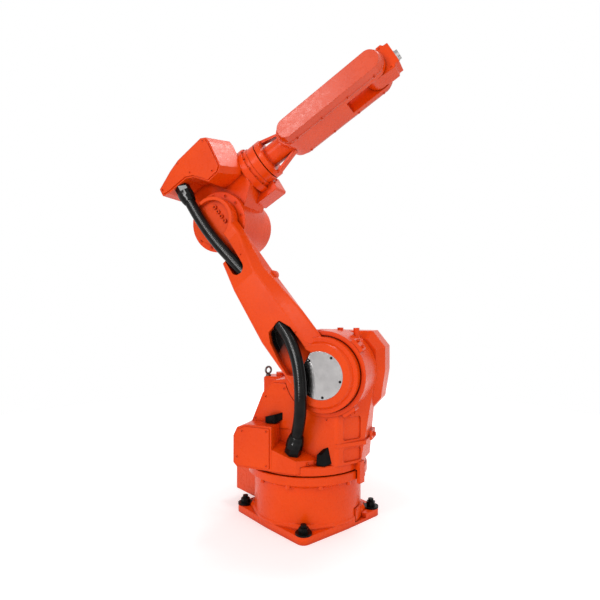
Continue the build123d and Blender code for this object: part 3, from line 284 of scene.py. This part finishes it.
def orange_paint(name, shine=PAINT_SHINE, dark=PAINT_DARK, light=PAINT_LIGHT, pocket=False):
    """Glossy orange-red paint over sand castings: slight flow in the colour, painted shade in the recesses,
    orange peel and soft edges. With pocket, the deep end of the cable pocket gets painted shade, near
    black."""
    shader = Shader(name)
    shader.set("Specular IOR Level", shine)
    clean = shader.ramp(shader.noise(scale=7.0, detail=4.0), dark, light)
    # Painted shade, darker where the faces round a place are close
    colour = shader.with_recess_shade(clean, RECESS_SHADE, RECESS_SHADE_REACH)
    # Painted shade, near black, in the deep end of the cable pocket
    if pocket:
        colour = shader.mix(pocket_shade_mask(shader), colour, POCKET_SHADE)
    gloss = shader.ramp(shader.noise(scale=60.0, detail=3.0), low=0.24, high=0.33)
    edges = shader.soft_edges(radius=0.004)
    sand = shader.noise(scale=90.0, detail=3.0, roughness=0.6)
    cast = shader.bump(sand, distance=0.0006, strength=0.14, normal=edges)
    flow = shader.noise(scale=500.0, detail=2.0)
    peel = shader.bump(flow, distance=0.00012, strength=0.10, normal=cast)
    return shader.finish(colour, gloss, peel)


def rubber():
    """Black rubber of the stops."""
    shader = Shader("rubber")
    shader.set("Specular IOR Level", 0.08)
    colour = shader.ramp(shader.noise(scale=45.0, detail=4.0), *RUBBER_COLOURS)
    gloss = shader.ramp(shader.noise(scale=160.0, detail=3.0), low=0.28, high=0.45)
    edges = shader.soft_edges(radius=0.0025)
    grain = shader.bump(shader.noise(scale=700.0, detail=2.0), distance=0.0002, strength=0.4, normal=edges)
    return shader.finish(colour, gloss, grain)


def black_steel():
    """Oiled black steel of the anchors and of some screws."""
    shader = Shader("black_steel")
    shader.set("Specular IOR Level", 0.1)
    colour = shader.ramp(shader.noise(scale=80.0, detail=4.0), *BLACK_STEEL_COLOURS)
    gloss = shader.ramp(shader.noise(scale=120.0, detail=3.0), low=0.26, high=0.44)
    edges = shader.soft_edges(radius=0.001)
    grain = shader.bump(shader.noise(scale=500.0, detail=2.0), distance=0.0002, strength=0.3, normal=edges)
    return shader.finish(colour, gloss, grain)


def dark_metal():
    """Bare dark steel of the lifting eye."""
    shader = Shader("dark_metal")
    shader.set("Metallic", 1.0)
    colour = shader.ramp(shader.noise(scale=70.0, detail=4.0), *DARK_METAL_COLOURS)
    gloss = shader.ramp(shader.noise(scale=140.0, detail=3.0), low=0.24, high=0.42)
    grain = shader.bump(shader.noise(scale=420.0, detail=2.0), distance=0.0002, strength=0.25)
    return shader.finish(colour, gloss, grain)


def turned_steel(name, origin, axis, dark, bright):
    """Bright metal with fine turning marks round an axis, which draw its highlights out across them."""
    shader = Shader(name)
    shader.set("Metallic", 1.0)
    shader.set("Anisotropic", 0.7)
    shader.link(shader.around(origin, axis), shader.surface.inputs["Tangent"])
    rings = shader.node("ShaderNodeTexWave", wave_type="RINGS", rings_direction="Z")
    rings.inputs["Scale"].default_value = 320.0
    rings.inputs["Distortion"].default_value = 1.5
    rings.inputs["Detail"].default_value = 3.0
    shader.link(shader.local(origin, axis), rings.inputs["Vector"])
    marks = rings.outputs["Fac"]
    colour = shader.ramp(shader.noise(scale=30.0, detail=4.0), dark, bright)
    gloss = shader.ramp(marks, low=0.13, high=0.20, start=0.2, end=0.8)
    edges = shader.soft_edges(radius=0.0012)
    grain = shader.bump(marks, distance=0.00008, strength=0.35, normal=edges)
    return shader.finish(colour, gloss, grain)


def black_plastic():
    """Moulded black plastic of the glands."""
    shader = Shader("black_plastic")
    shader.set("Specular IOR Level", 0.1)
    colour = shader.ramp(shader.noise(scale=60.0, detail=3.0), *BLACK_COLOURS)
    gloss = shader.ramp(shader.noise(scale=110.0, detail=3.0), low=0.14, high=0.22)
    edges = shader.soft_edges(radius=0.0012)
    grain = shader.bump(shader.noise(scale=800.0, detail=2.0), distance=0.0001, strength=0.1, normal=edges)
    return shader.finish(colour, gloss, grain)


def conduit():
    """Smooth black polyamide of the hoses."""
    shader = Shader("hose")
    shader.set("Specular IOR Level", 0.1)
    colour = shader.ramp(shader.noise(scale=35.0, detail=4.0), *BLACK_COLOURS)
    gloss = shader.ramp(shader.noise(scale=55.0, detail=4.0), low=0.15, high=0.21)
    grain = shader.bump(shader.noise(scale=600.0, detail=2.0), distance=0.0001, strength=0.1)
    return shader.finish(colour, gloss, grain)


FINISH = {
    "orange_paint": orange_paint("orange_paint"),
    "rubber": rubber(),
    "black_steel": black_steel(),
    "dark_metal": dark_metal(),
    "bright_steel": turned_steel("cap_steel", SHOULDER, SIDE, *CAP_COLOURS),
    "black_plastic": black_plastic(),
    "hose": conduit(),
}
COVER_PAINT = orange_paint("cover_paint", COVER_SHINE, COVER_DARK, COVER_LIGHT)
OWN_FINISH = {
    "tool_flange": turned_steel("flange_steel", FLANGE, FORE_ALONG, *FLANGE_COLOURS),
    # The lower arm's paint has painted shade in the deep end of its cable pocket
    "lower_arm_casting": orange_paint("arm_paint", pocket=True),
    "forearm_near_cover": COVER_PAINT,
    "forearm_far_cover": COVER_PAINT,
}

# A node's slot has the name of its finish, with a number after it where that name was taken
for name, node in nodes.items():
    for slot in node.material_slots:
        slot.material = OWN_FINISH.get(name) or FINISH[slot.material.name.split(".")[0]]


# Mesh pieces

SHARP_EDGE = 0.6              # radians between faces, from which an edge stays sharp
HEXAGON = 6
SCREW_SEGMENTS = 24
SCREW_SINK = 0.0005           # how deep a head's foot lies in its seat
SEAT_REACH = 0.5              # how far out the search for a seat starts, clear of every node it is used on


def add_piece(name, points, faces, finish, body=None, sharp=SHARP_EDGE):
    """A mesh piece, smooth except along its sharper edges, that rides on a body if one is given."""
    mesh = bpy.data.meshes.new(name)
    mesh.from_pydata(points, [], faces)
    mesh.materials.append(FINISH[finish])
    mesh.shade_smooth()
    mesh.set_sharp_from_angle(angle=sharp)
    piece = bpy.data.objects.new(name, mesh)
    bpy.context.scene.collection.objects.link(piece)
    if body:
        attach(piece, body)
    return piece


def ring_faces(rings, segments, hollow=False):
    """Faces between rings of points. They close both ends, or run from the last ring to the first where
    the piece is hollow."""
    faces = []
    for ring in range(rings if hollow else rings - 1):
        here = ring * segments
        there = (ring + 1) % rings * segments
        for step in range(segments):
            after = (step + 1) % segments
            faces.append((here + step, here + after, there + after, there + step))
    if not hollow:
        faces.append(tuple(range(segments))[::-1])
        faces.append(tuple(range((rings - 1) * segments, rings * segments)))
    return faces


def turned_points(rings, place, segments):
    """Points of a turned piece. A ring is (radius, height), or (radius, height, corners) where it is
    many-sided. place is the piece's frame, with z along its axis."""
    points = []
    for radius, height, *corners in rings:
        for step in range(segments):
            angle = 2 * pi * step / segments
            reach = radius
            if corners:
                wedge = 2 * pi / corners[0]
                reach = radius * cos(wedge / 2) / cos(angle % wedge - wedge / 2)
            points.append(place @ Vector((reach * cos(angle), reach * sin(angle), height)))
    return points


def frame_at(origin, axis):
    """Frame at a point with z along an axis."""
    return Matrix.Translation(origin) @ axis.to_track_quat("Z", "Y").to_matrix().to_4x4()


def seat_on(node, point, way):
    """The place on the line through a point along way where a fastener, pushed in from outside, meets a
    face of a CAD node."""
    hit, place, *_ = nodes[node].ray_cast(point + way * SEAT_REACH, -way)
    if not hit:
        raise RuntimeError(f"no face of {node} under a fastener at {tuple(point)}")
    return place


def cap_screw(radius):
    """Rings of a socket head screw."""
    height = radius * 1.1
    edge = radius * 0.14
    socket_mouth = radius * 0.56
    socket_end = radius * 0.54
    socket_floor = height * 0.35
    return [
        (radius, -SCREW_SINK),
        (radius, height - edge),
        (radius - edge, height),
        (socket_mouth, height, HEXAGON),
        (socket_end, socket_floor, HEXAGON),
    ]


def button_screw(radius):
    """Rings of a low round head screw with a hexagon socket."""
    height = radius * 0.62
    socket_mouth = radius * 0.52
    socket_end = radius * 0.5
    socket_floor = height * 0.3
    return [
        (radius, -SCREW_SINK),
        (radius, height * 0.25),
        (radius * 0.9, height * 0.62),
        (radius * 0.72, height * 0.9),
        (socket_mouth, height, HEXAGON),
        (socket_end, socket_floor, HEXAGON),
    ]


def hex_bolt(radius):
    """Rings of a hexagon head on its washer."""
    washer = radius * 1.35
    washer_top = radius * 0.2
    head_foot = radius * 0.22
    head_shoulder = radius * 0.8
    chamfer_end = radius * 0.95
    top = radius * 0.98
    return [
        (washer, -SCREW_SINK),
        (washer, washer_top),
        (radius, head_foot, HEXAGON),
        (radius, head_shoulder, HEXAGON),
        (radius * 0.86, chamfer_end, HEXAGON),
        (radius * 0.8, top),
    ]


def fasteners(name, node, body, head, points, way, finish="orange_paint"):
    """One piece with the same fastener at each point, seated on a CAD node."""
    all_points = []
    all_faces = []
    head_faces = ring_faces(len(head), SCREW_SEGMENTS)
    for point in points:
        first = len(all_points)
        all_points += turned_points(head, frame_at(seat_on(node, point, way), way), SCREW_SEGMENTS)
        all_faces += [tuple(first + corner for corner in face) for face in head_faces]
    add_piece(name, all_points, all_faces, finish, body)


# Hoses, along the routes of the CAD tubes

HOSE_RADIUS = 0.021
HOSE_ROOT = 0.0205            # radius between two corrugations
HOSE_PITCH = 0.0048
HOSE_SEGMENTS = 28
HOSE_SHARP_EDGE = 1.2
SPLINE_ORDER = 3
SPLINE_STEPS = 32
GLAND_LENGTH = 0.044

# From the gland on the turret to the cable pocket of the lower arm, in the turret's frame
PLATFORM_LEAN = (0.315, 0.19)             # ahead and to the side, for a height of 1
SHOULDER_GLAND = (0.019, 0.184, 0.275)
SHOULDER_HOSE_LEAD = 0.080
SHOULDER_ROUTE = (
    (0.067, 0.230, 0.475),
    (0.066, 0.232, 0.537),
    (0.053, 0.225, 0.596),
    (0.028, 0.211, 0.649),
    (-0.008, 0.191, 0.693),
    (-0.051, 0.168, 0.725),
)

# From the gland under the elbow box, in the elbow's frame, to the slot in the lower arm, in its frame
ELBOW_GLAND = (-0.038, 0.177, 0.170)
ELBOW_HOSE_LEAD = 0.105
ELBOW_ROUTE = (
    (0.628, 0.033, 0.171),
    (0.540, 0.023, 0.170),
    (0.455, 0.015, 0.168),
)


def spline_line(route):
    """Points along the NURBS spline that has the route as its control points."""
    curve = bpy.data.curves.new("route", "CURVE")
    curve.dimensions = "3D"
    spline = curve.splines.new("NURBS")
    spline.points.add(len(route) - 1)
    for control, place in zip(spline.points, route):
        control.co = (*place, 1)
    spline.order_u = SPLINE_ORDER
    spline.use_endpoint_u = True
    spline.resolution_u = SPLINE_STEPS
    holder = bpy.data.objects.new("route", curve)
    bpy.context.scene.collection.objects.link(holder)
    bpy.context.view_layer.update()
    mesh = bpy.data.meshes.new_from_object(holder)
    line = [vertex.co.copy() for vertex in mesh.vertices]
    bpy.data.objects.remove(holder)
    bpy.data.curves.remove(curve)
    bpy.data.meshes.remove(mesh)
    return line


def stations(line, spacing):
    """Places and directions at an even spacing along a line."""
    found = []
    walked = 0.0
    goal = 0.0
    for start, end in zip(line, line[1:]):
        run = (end - start).length
        while goal <= walked + run:
            found.append((start.lerp(end, (goal - walked) / run), (end - start).normalized()))
            goal += spacing
        walked += run
    return found


def corrugated_tube(name, line):
    """A hose with corrugations along a line, closed at both ends."""
    profile = (HOSE_ROOT, HOSE_RADIUS, HOSE_RADIUS, HOSE_ROOT)
    rings = stations(line, HOSE_PITCH / len(profile))
    across = (line[1] - line[0]).cross(UP + SIDE).normalized()
    points = []
    for index, (place, way) in enumerate(rings):
        across = (across - way * across.dot(way)).normalized()
        square = way.cross(across)
        radius = profile[index % len(profile)]
        for step in range(HOSE_SEGMENTS):
            angle = 2 * pi * step / HOSE_SEGMENTS
            points.append(place + (across * cos(angle) + square * sin(angle)) * radius)
    return add_piece(name, points, ring_faces(len(rings), HOSE_SEGMENTS), "hose", sharp=HOSE_SHARP_EDGE)


platform_way = (AHEAD * PLATFORM_LEAN[0] + SIDE * PLATFORM_LEAN[1] + UP).normalized()
shoulder_foot = turret_point(*SHOULDER_GLAND)
shoulder_top = shoulder_foot + platform_way * GLAND_LENGTH
shoulder_line = spline_line(
    [
        shoulder_top,
        shoulder_top + platform_way * SHOULDER_HOSE_LEAD,
        *(turret_point(*place) for place in SHOULDER_ROUTE),
    ]
)
shoulder_hose = corrugated_tube("shoulder_conduit", shoulder_line)
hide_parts("shoulder_hose")
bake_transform(shoulder_hose)

elbow_foot = elbow_point(*ELBOW_GLAND)
elbow_top = elbow_foot - FORE_UP * GLAND_LENGTH
elbow_line = spline_line(
    [
        elbow_top,
        elbow_top - FORE_UP * ELBOW_HOSE_LEAD,
        *(arm_point(*place) for place in ELBOW_ROUTE),
    ]
)
elbow_hose = corrugated_tube("elbow_conduit", elbow_line)
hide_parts("elbow_hose")
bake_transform(elbow_hose)


# Gland nuts round the ends of the hoses

NUT_CORNERS = 12
NUT_SEGMENTS = 48
NUT_RINGS = [                 # radius and height over the gland's foot, down the bore and up the outside
    (0.0216, 0.070),
    (0.0216, 0.030),
    (0.0262, 0.0235),
    (0.0305, 0.0250, NUT_CORNERS),
    (0.0305, 0.0470, NUT_CORNERS),
    (0.0280, 0.0500),
    (0.0268, 0.0600),
    (0.0236, 0.0690),
]


def gland_nut(name, foot, way, body):
    """A compression nut that closes on the hose."""
    points = turned_points(NUT_RINGS, frame_at(foot, way), NUT_SEGMENTS)
    faces = ring_faces(len(NUT_RINGS), NUT_SEGMENTS, hollow=True)
    return add_piece(name, points, faces, "black_plastic", body)


shoulder_nut = gland_nut("shoulder_gland_nut", shoulder_foot, platform_way, "turret")
elbow_nut = gland_nut("elbow_gland_nut", elbow_foot, -FORE_UP, "elbow")


# Fasteners

# Radii of the heads
PANEL_SCREW = 0.0045
CAP_SCREW = 0.0045
FACE_SCREW = 0.004
BOX_SCREW = 0.004
WRIST_SCREW = 0.0035
COVER_SCREW = 0.003
PORT_SCREW = 0.003
ELBOW_RING_BOLT = 0.0058
ELBOW_FAR_BOLT = 0.007
COLLAR_BOLT = 0.004
POCKET_BOLT = 0.0078
BLOCK_BOLT = 0.005
PAD_BOLT = 0.0065
LUG_BOLT = 0.008
GEAR_COVER_BOLT = 0.007

# Bolt circles: radius, count and the first bolt's angle in degrees
ELBOW_RING_CIRCLE = (0.103, 12, 11.0)
ELBOW_FAR_CIRCLE = (0.092, 10, 0.0)
COLLAR_CIRCLE = (0.087, 12, 15.0)
GEAR_COVER_CIRCLE = (0.098, 8, 22.5)

# Places on the elbow and the wrist: along, square
ELBOW_PANEL_PLACES = ((0.140, 0.248), (0.008, 0.246), (0.036, 0.183), (0.116, 0.129), (-0.098, 0.200))
WRIST_PLACES = ((0.053, 0.043), (0.053, -0.041))
COVER_ALONG = (0.421, 0.5333, 0.6457, 0.758)
COVER_SQUARE = 0.0484

# Places on the lower arm: reach, rear
CAP_SCREW_CIRCLE = 0.073
CAP_SCREW_ANGLES = (80, 149, 218, 287)    # degrees from the arm's line
CAP_INNER_PLACE = (0.061, -0.002)
ARM_FACE_PLACES = ((0.519, -0.021), (0.166, -0.0225))
POCKET_BOLT_REACHES = (-0.035, -0.012, 0.011, 0.034)    # from the elbow axis
POCKET_BOLT_REAR = -0.037

# Places on the turret: ahead, height
SIDE_PLATE_PLACES = ((-0.028, 0.488), (-0.141, 0.377), (0.020, 0.361), (-0.100, 0.455))
CABLE_PLATE_PLACES = ((-0.156, 0.343), (-0.062, 0.350), (-0.176, 0.252), (-0.062, 0.232))
COLUMN_SCREW_PLACE = (0.1294, 0.3895)

# Places on the turret: ahead, side, height
BLOCK_BOLT_PLACES = ((0.072, 0.185, 0.2465), (0.095, 0.163, 0.2465))
LUG_BOLT_PLACE = (0.0, -0.030, 0.3125)

# Stop pads round the shoulder: angles in degrees above straight ahead, and the bolts on each
PAD_ANGLES = {"upper": 41.0, "lower": -55.0}
PAD_BOLT_OFFSETS = (-0.013, 0.013)
PAD_SIDE = 0.130

# Places on the base
PORT_SCREW_ACROSS = (-0.019, 0.019)       # from the middle of the port plate
PORT_SCREW_RISE = (-0.017, 0.017)
BOX_SCREW_ACROSS = (-0.112, 0.112)
BOX_SCREW_HEIGHTS = (0.060, 0.138)
BOX_WAY = Vector((-1, 0, 0))


def circle(centre, first, second, radius, count, start):
    """Points evenly round a centre, from first towards second, the first one at an angle in degrees."""
    angles = [radians(start) + 2 * pi * step / count for step in range(count)]
    return [centre + (first * cos(angle) + second * sin(angle)) * radius for angle in angles]


# Elbow
fasteners(
    "elbow_panel_screws",
    "elbow_panel",
    "elbow",
    button_screw(PANEL_SCREW),
    [elbow_point(along, square) for along, square in ELBOW_PANEL_PLACES],
    SIDE,
)
fasteners(
    "elbow_ring_bolts",
    "elbow_casting",
    "elbow",
    button_screw(ELBOW_RING_BOLT),
    circle(ELBOW, FORE_ALONG, FORE_UP, *ELBOW_RING_CIRCLE),
    SIDE,
)
fasteners(
    "elbow_far_bolts",
    "elbow_casting",
    "elbow",
    cap_screw(ELBOW_FAR_BOLT),
    circle(ELBOW, FORE_ALONG, FORE_UP, *ELBOW_FAR_CIRCLE),
    -SIDE,
)
fasteners(
    "collar_bolts",
    "elbow_casting",
    "elbow",
    cap_screw(COLLAR_BOLT),
    circle(FOREARM, SIDE, FORE_UP, *COLLAR_CIRCLE),
    FORE_ALONG,
)

# Lower arm
cap_ring = [
    arm_point(CAP_SCREW_CIRCLE * cos(radians(angle)), CAP_SCREW_CIRCLE * sin(radians(angle)))
    for angle in CAP_SCREW_ANGLES
]
fasteners(
    "cap_screws",
    "shoulder_cap",
    "lower_arm",
    button_screw(CAP_SCREW),
    [*cap_ring, arm_point(*CAP_INNER_PLACE)],
    SIDE,
    "black_steel",
)
fasteners(
    "arm_pocket_bolts",
    "lower_arm_casting",
    "lower_arm",
    cap_screw(POCKET_BOLT),
    [arm_point(ARM_LENGTH + reach, POCKET_BOLT_REAR) for reach in POCKET_BOLT_REACHES],
    SIDE,
)
fasteners(
    "arm_face_screws",
    "lower_arm_casting",
    "lower_arm",
    button_screw(FACE_SCREW),
    [arm_point(reach, rear) for reach, rear in ARM_FACE_PLACES],
    SIDE,
)

# Turret
fasteners(
    "side_plate_screws",
    "upper_side_plate",
    "turret",
    button_screw(PANEL_SCREW),
    [turret_point(ahead, 0, height) for ahead, height in SIDE_PLATE_PLACES],
    SIDE,
)
fasteners(
    "cable_plate_screws",
    "cable_box_plate",
    "turret",
    button_screw(PANEL_SCREW),
    [turret_point(ahead, 0, height) for ahead, height in CABLE_PLATE_PLACES],
    SIDE,
)
fasteners(
    "gland_block_bolts",
    "gland_block",
    "turret",
    cap_screw(BLOCK_BOLT),
    [turret_point(*place) for place in BLOCK_BOLT_PLACES],
    (AHEAD + SIDE).normalized(),
)
for name, angle in PAD_ANGLES.items():
    pad_way = AHEAD * cos(radians(angle)) + UP * sin(radians(angle))
    round_way = UP * cos(radians(angle)) - AHEAD * sin(radians(angle))
    fasteners(
        f"{name}_pad_bolts",
        "turret_casting",
        "turret",
        cap_screw(PAD_BOLT),
        [SHOULDER + round_way * offset + SIDE * PAD_SIDE for offset in PAD_BOLT_OFFSETS],
        pad_way,
    )
column_ahead, column_height = COLUMN_SCREW_PLACE
fasteners(
    "column_screw",
    "turret_casting",
    "turret",
    button_screw(FACE_SCREW),
    [turret_point(column_ahead, 0, column_height)],
    SIDE,
)
fasteners(
    "rib_lug_bolt",
    "turret_casting",
    "turret",
    hex_bolt(LUG_BOLT),
    [turret_point(*LUG_BOLT_PLACE)],
    AHEAD,
)
fasteners(
    "gear_cover_bolts",
    "shoulder_gear_cover",
    "turret",
    hex_bolt(GEAR_COVER_BOLT),
    circle(SHOULDER, AHEAD, UP, *GEAR_COVER_CIRCLE),
    -SIDE,
)

# Forearm and wrist
for name, way in (("near", SIDE), ("far", -SIDE)):
    fasteners(
        f"{name}_cover_screws",
        f"forearm_{name}_cover",
        "forearm",
        button_screw(COVER_SCREW),
        [forearm_point(along, square) for along in COVER_ALONG for square in (-COVER_SQUARE, COVER_SQUARE)],
        way,
    )
fasteners(
    "wrist_near_screws",
    "wrist_housing",
    "wrist",
    button_screw(WRIST_SCREW),
    [WRIST + FORE_ALONG * along + FORE_UP * square for along, square in WRIST_PLACES],
    SIDE,
)

# Base
port_low, port_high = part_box("base_port_plate")
port_middle = (Vector(port_low) + Vector(port_high)) / 2
port_way = Vector((port_middle.x, port_middle.y, 0)).normalized()
fasteners(
    "port_plate_screws",
    "base_port_plate",
    "base",
    button_screw(PORT_SCREW),
    [
        UP.cross(port_way) * across + UP * (port_middle.z + rise)
        for across in PORT_SCREW_ACROSS
        for rise in PORT_SCREW_RISE
    ],
    port_way,
)
fasteners(
    "connector_box_screws",
    "connector_box",
    "base",
    button_screw(BOX_SCREW),
    [Vector((0, across, height)) for across in BOX_SCREW_ACROSS for height in BOX_SCREW_HEIGHTS],
    BOX_WAY,
)


# Camera, floor and light

# Camera of the photograph, with its lens and sensor in millimetres
CAMERA_PLACE = (1.4031, -1.2529, 0.7879)
CAMERA_WAY = (-0.756, 0.6546, 0.0066)
CAMERA_LENS = 29.79
CAMERA_SENSOR = 36.0

WHITE = (1, 1, 1, 1)
FLOOR_REACH = 2.6
FLOOR_COLOUR = (0.82, 0.82, 0.82, 1)
FLOOR_ROUGHNESS = 0.9
GLOW_DISTANCES = (0.4, 1.5)   # from the middle of the floor
GLOW_SEEN = (0.4, 0.8)        # what the camera sees of the floor's glow at those distances
GLOW_CAST = 0.2               # what the floor's glow adds to the light on the arm
WORLD_SEEN = 1.0
WORLD_CAST = 0.49

LAMP_TARGET = Vector((0.0, 0.0, 0.85))
SOFT_BOXES = {                # place, width, height, watts
    "key_light": ((0.3, -4.2, 2.2), 0.36, 2.8, 43.0),
    "right_light": ((3.4, 0.45, 1.8), 0.6, 2.4, 14.0),
    "fill_light": ((2.1, -2.3, 1.3), 3.0, 2.4, 15.0),
    "camera_light": ((2.2, -1.6, 3.0), 0.7, 0.5, 8.0),
    "top_light": ((0.0, 1.4, 3.6), 1.0, 0.7, 24.0),
    "glint_card": ((0.85, -2.06, 1.65), 0.6, 3.0, 270.0),
}


def aim(thing, place, way):
    """Puts a camera or a lamp into the scene at a place, looking along way."""
    turn = Vector(way).to_track_quat("-Z", "Y").to_matrix().to_4x4()
    thing.matrix_world = Matrix.Translation(place) @ turn
    bpy.context.scene.collection.objects.link(thing)


def seen_directly(tree):
    """A value that is 1 for what the camera sees, in mirrors and through glass too."""
    path = tree.nodes.new("ShaderNodeLightPath")
    total = path.outputs["Is Camera Ray"]
    for kind in ("Is Glossy Ray", "Is Transmission Ray"):
        larger = tree.nodes.new("ShaderNodeMath")
        larger.operation = "MAXIMUM"
        tree.links.new(total, larger.inputs[0])
        tree.links.new(path.outputs[kind], larger.inputs[1])
        total = larger.outputs["Value"]
    return total


def floor_material():
    """Pale floor that keeps the shadow and runs into the white background."""
    shader = Shader("studio_floor")
    shader.set("Base Color", FLOOR_COLOUR)
    shader.set("Roughness", FLOOR_ROUGHNESS)
    shader.set("Emission Color", WHITE)
    reach = shader.node("ShaderNodeVectorMath", operation="LENGTH")
    shader.link(shader.place, reach.inputs[0])
    outwards = shader.node("ShaderNodeMapRange")
    for socket, level in zip(("From Min", "From Max", "To Min", "To Max"), GLOW_DISTANCES + GLOW_SEEN):
        outwards.inputs[socket].default_value = level
    shader.link(reach.outputs["Value"], outwards.inputs["Value"])
    glow = shader.node("ShaderNodeMapRange")
    glow.inputs["To Min"].default_value = GLOW_CAST
    shader.link(seen_directly(shader.tree), glow.inputs["Value"])
    shader.link(outwards.outputs["Result"], glow.inputs["To Max"])
    shader.link(glow.outputs["Result"], shader.surface.inputs["Emission Strength"])
    return shader.material


def soft_box(name, place, width, height, power):
    """A soft lamp that faces the middle of the arm."""
    lamp = bpy.data.lights.new(name, "AREA")
    lamp.shape = "RECTANGLE"
    lamp.size = width
    lamp.size_y = height
    lamp.energy = power
    holder = bpy.data.objects.new(name, lamp)
    aim(holder, place, LAMP_TARGET - Vector(place))
    return holder


camera_data = bpy.data.cameras.new("camera")
camera_data.lens = CAMERA_LENS
camera_data.sensor_width = CAMERA_SENSOR
camera = bpy.data.objects.new("camera", camera_data)
aim(camera, CAMERA_PLACE, CAMERA_WAY)
bpy.context.scene.camera = camera

floor_corners = [(x * FLOOR_REACH, y * FLOOR_REACH, 0) for x, y in ((-1, -1), (1, -1), (1, 1), (-1, 1))]
floor_mesh = bpy.data.meshes.new("floor")
floor_mesh.from_pydata(floor_corners, [], [(0, 1, 2, 3)])
floor_mesh.materials.append(floor_material())
floor = bpy.data.objects.new("floor", floor_mesh)
bpy.context.scene.collection.objects.link(floor)

world = bpy.data.worlds.new("studio")
bpy.context.scene.world = world
world.use_nodes = True
background = world.node_tree.nodes["Background"]
background.inputs["Color"].default_value = WHITE
strength = world.node_tree.nodes.new("ShaderNodeMapRange")
strength.inputs["To Min"].default_value = WORLD_CAST
strength.inputs["To Max"].default_value = WORLD_SEEN
world.node_tree.links.new(seen_directly(world.node_tree), strength.inputs["Value"])
world.node_tree.links.new(strength.outputs["Result"], background.inputs["Strength"])

lamps = {name: soft_box(name, *settings) for name, settings in SOFT_BOXES.items()}

# The card lights the black hoses and glands alone, for their bright streaks
glossy_black = bpy.data.collections.new("glossy_black")
lamps["glint_card"].light_linking.receiver_collection = glossy_black
for piece in (shoulder_hose, elbow_hose, shoulder_nut, elbow_nut):
    glossy_black.objects.link(piece)
for name in ("shoulder_gland", "elbow_gland"):
    glossy_black.objects.link(nodes[name])

bpy.context.scene.view_settings.view_transform = "Standard"
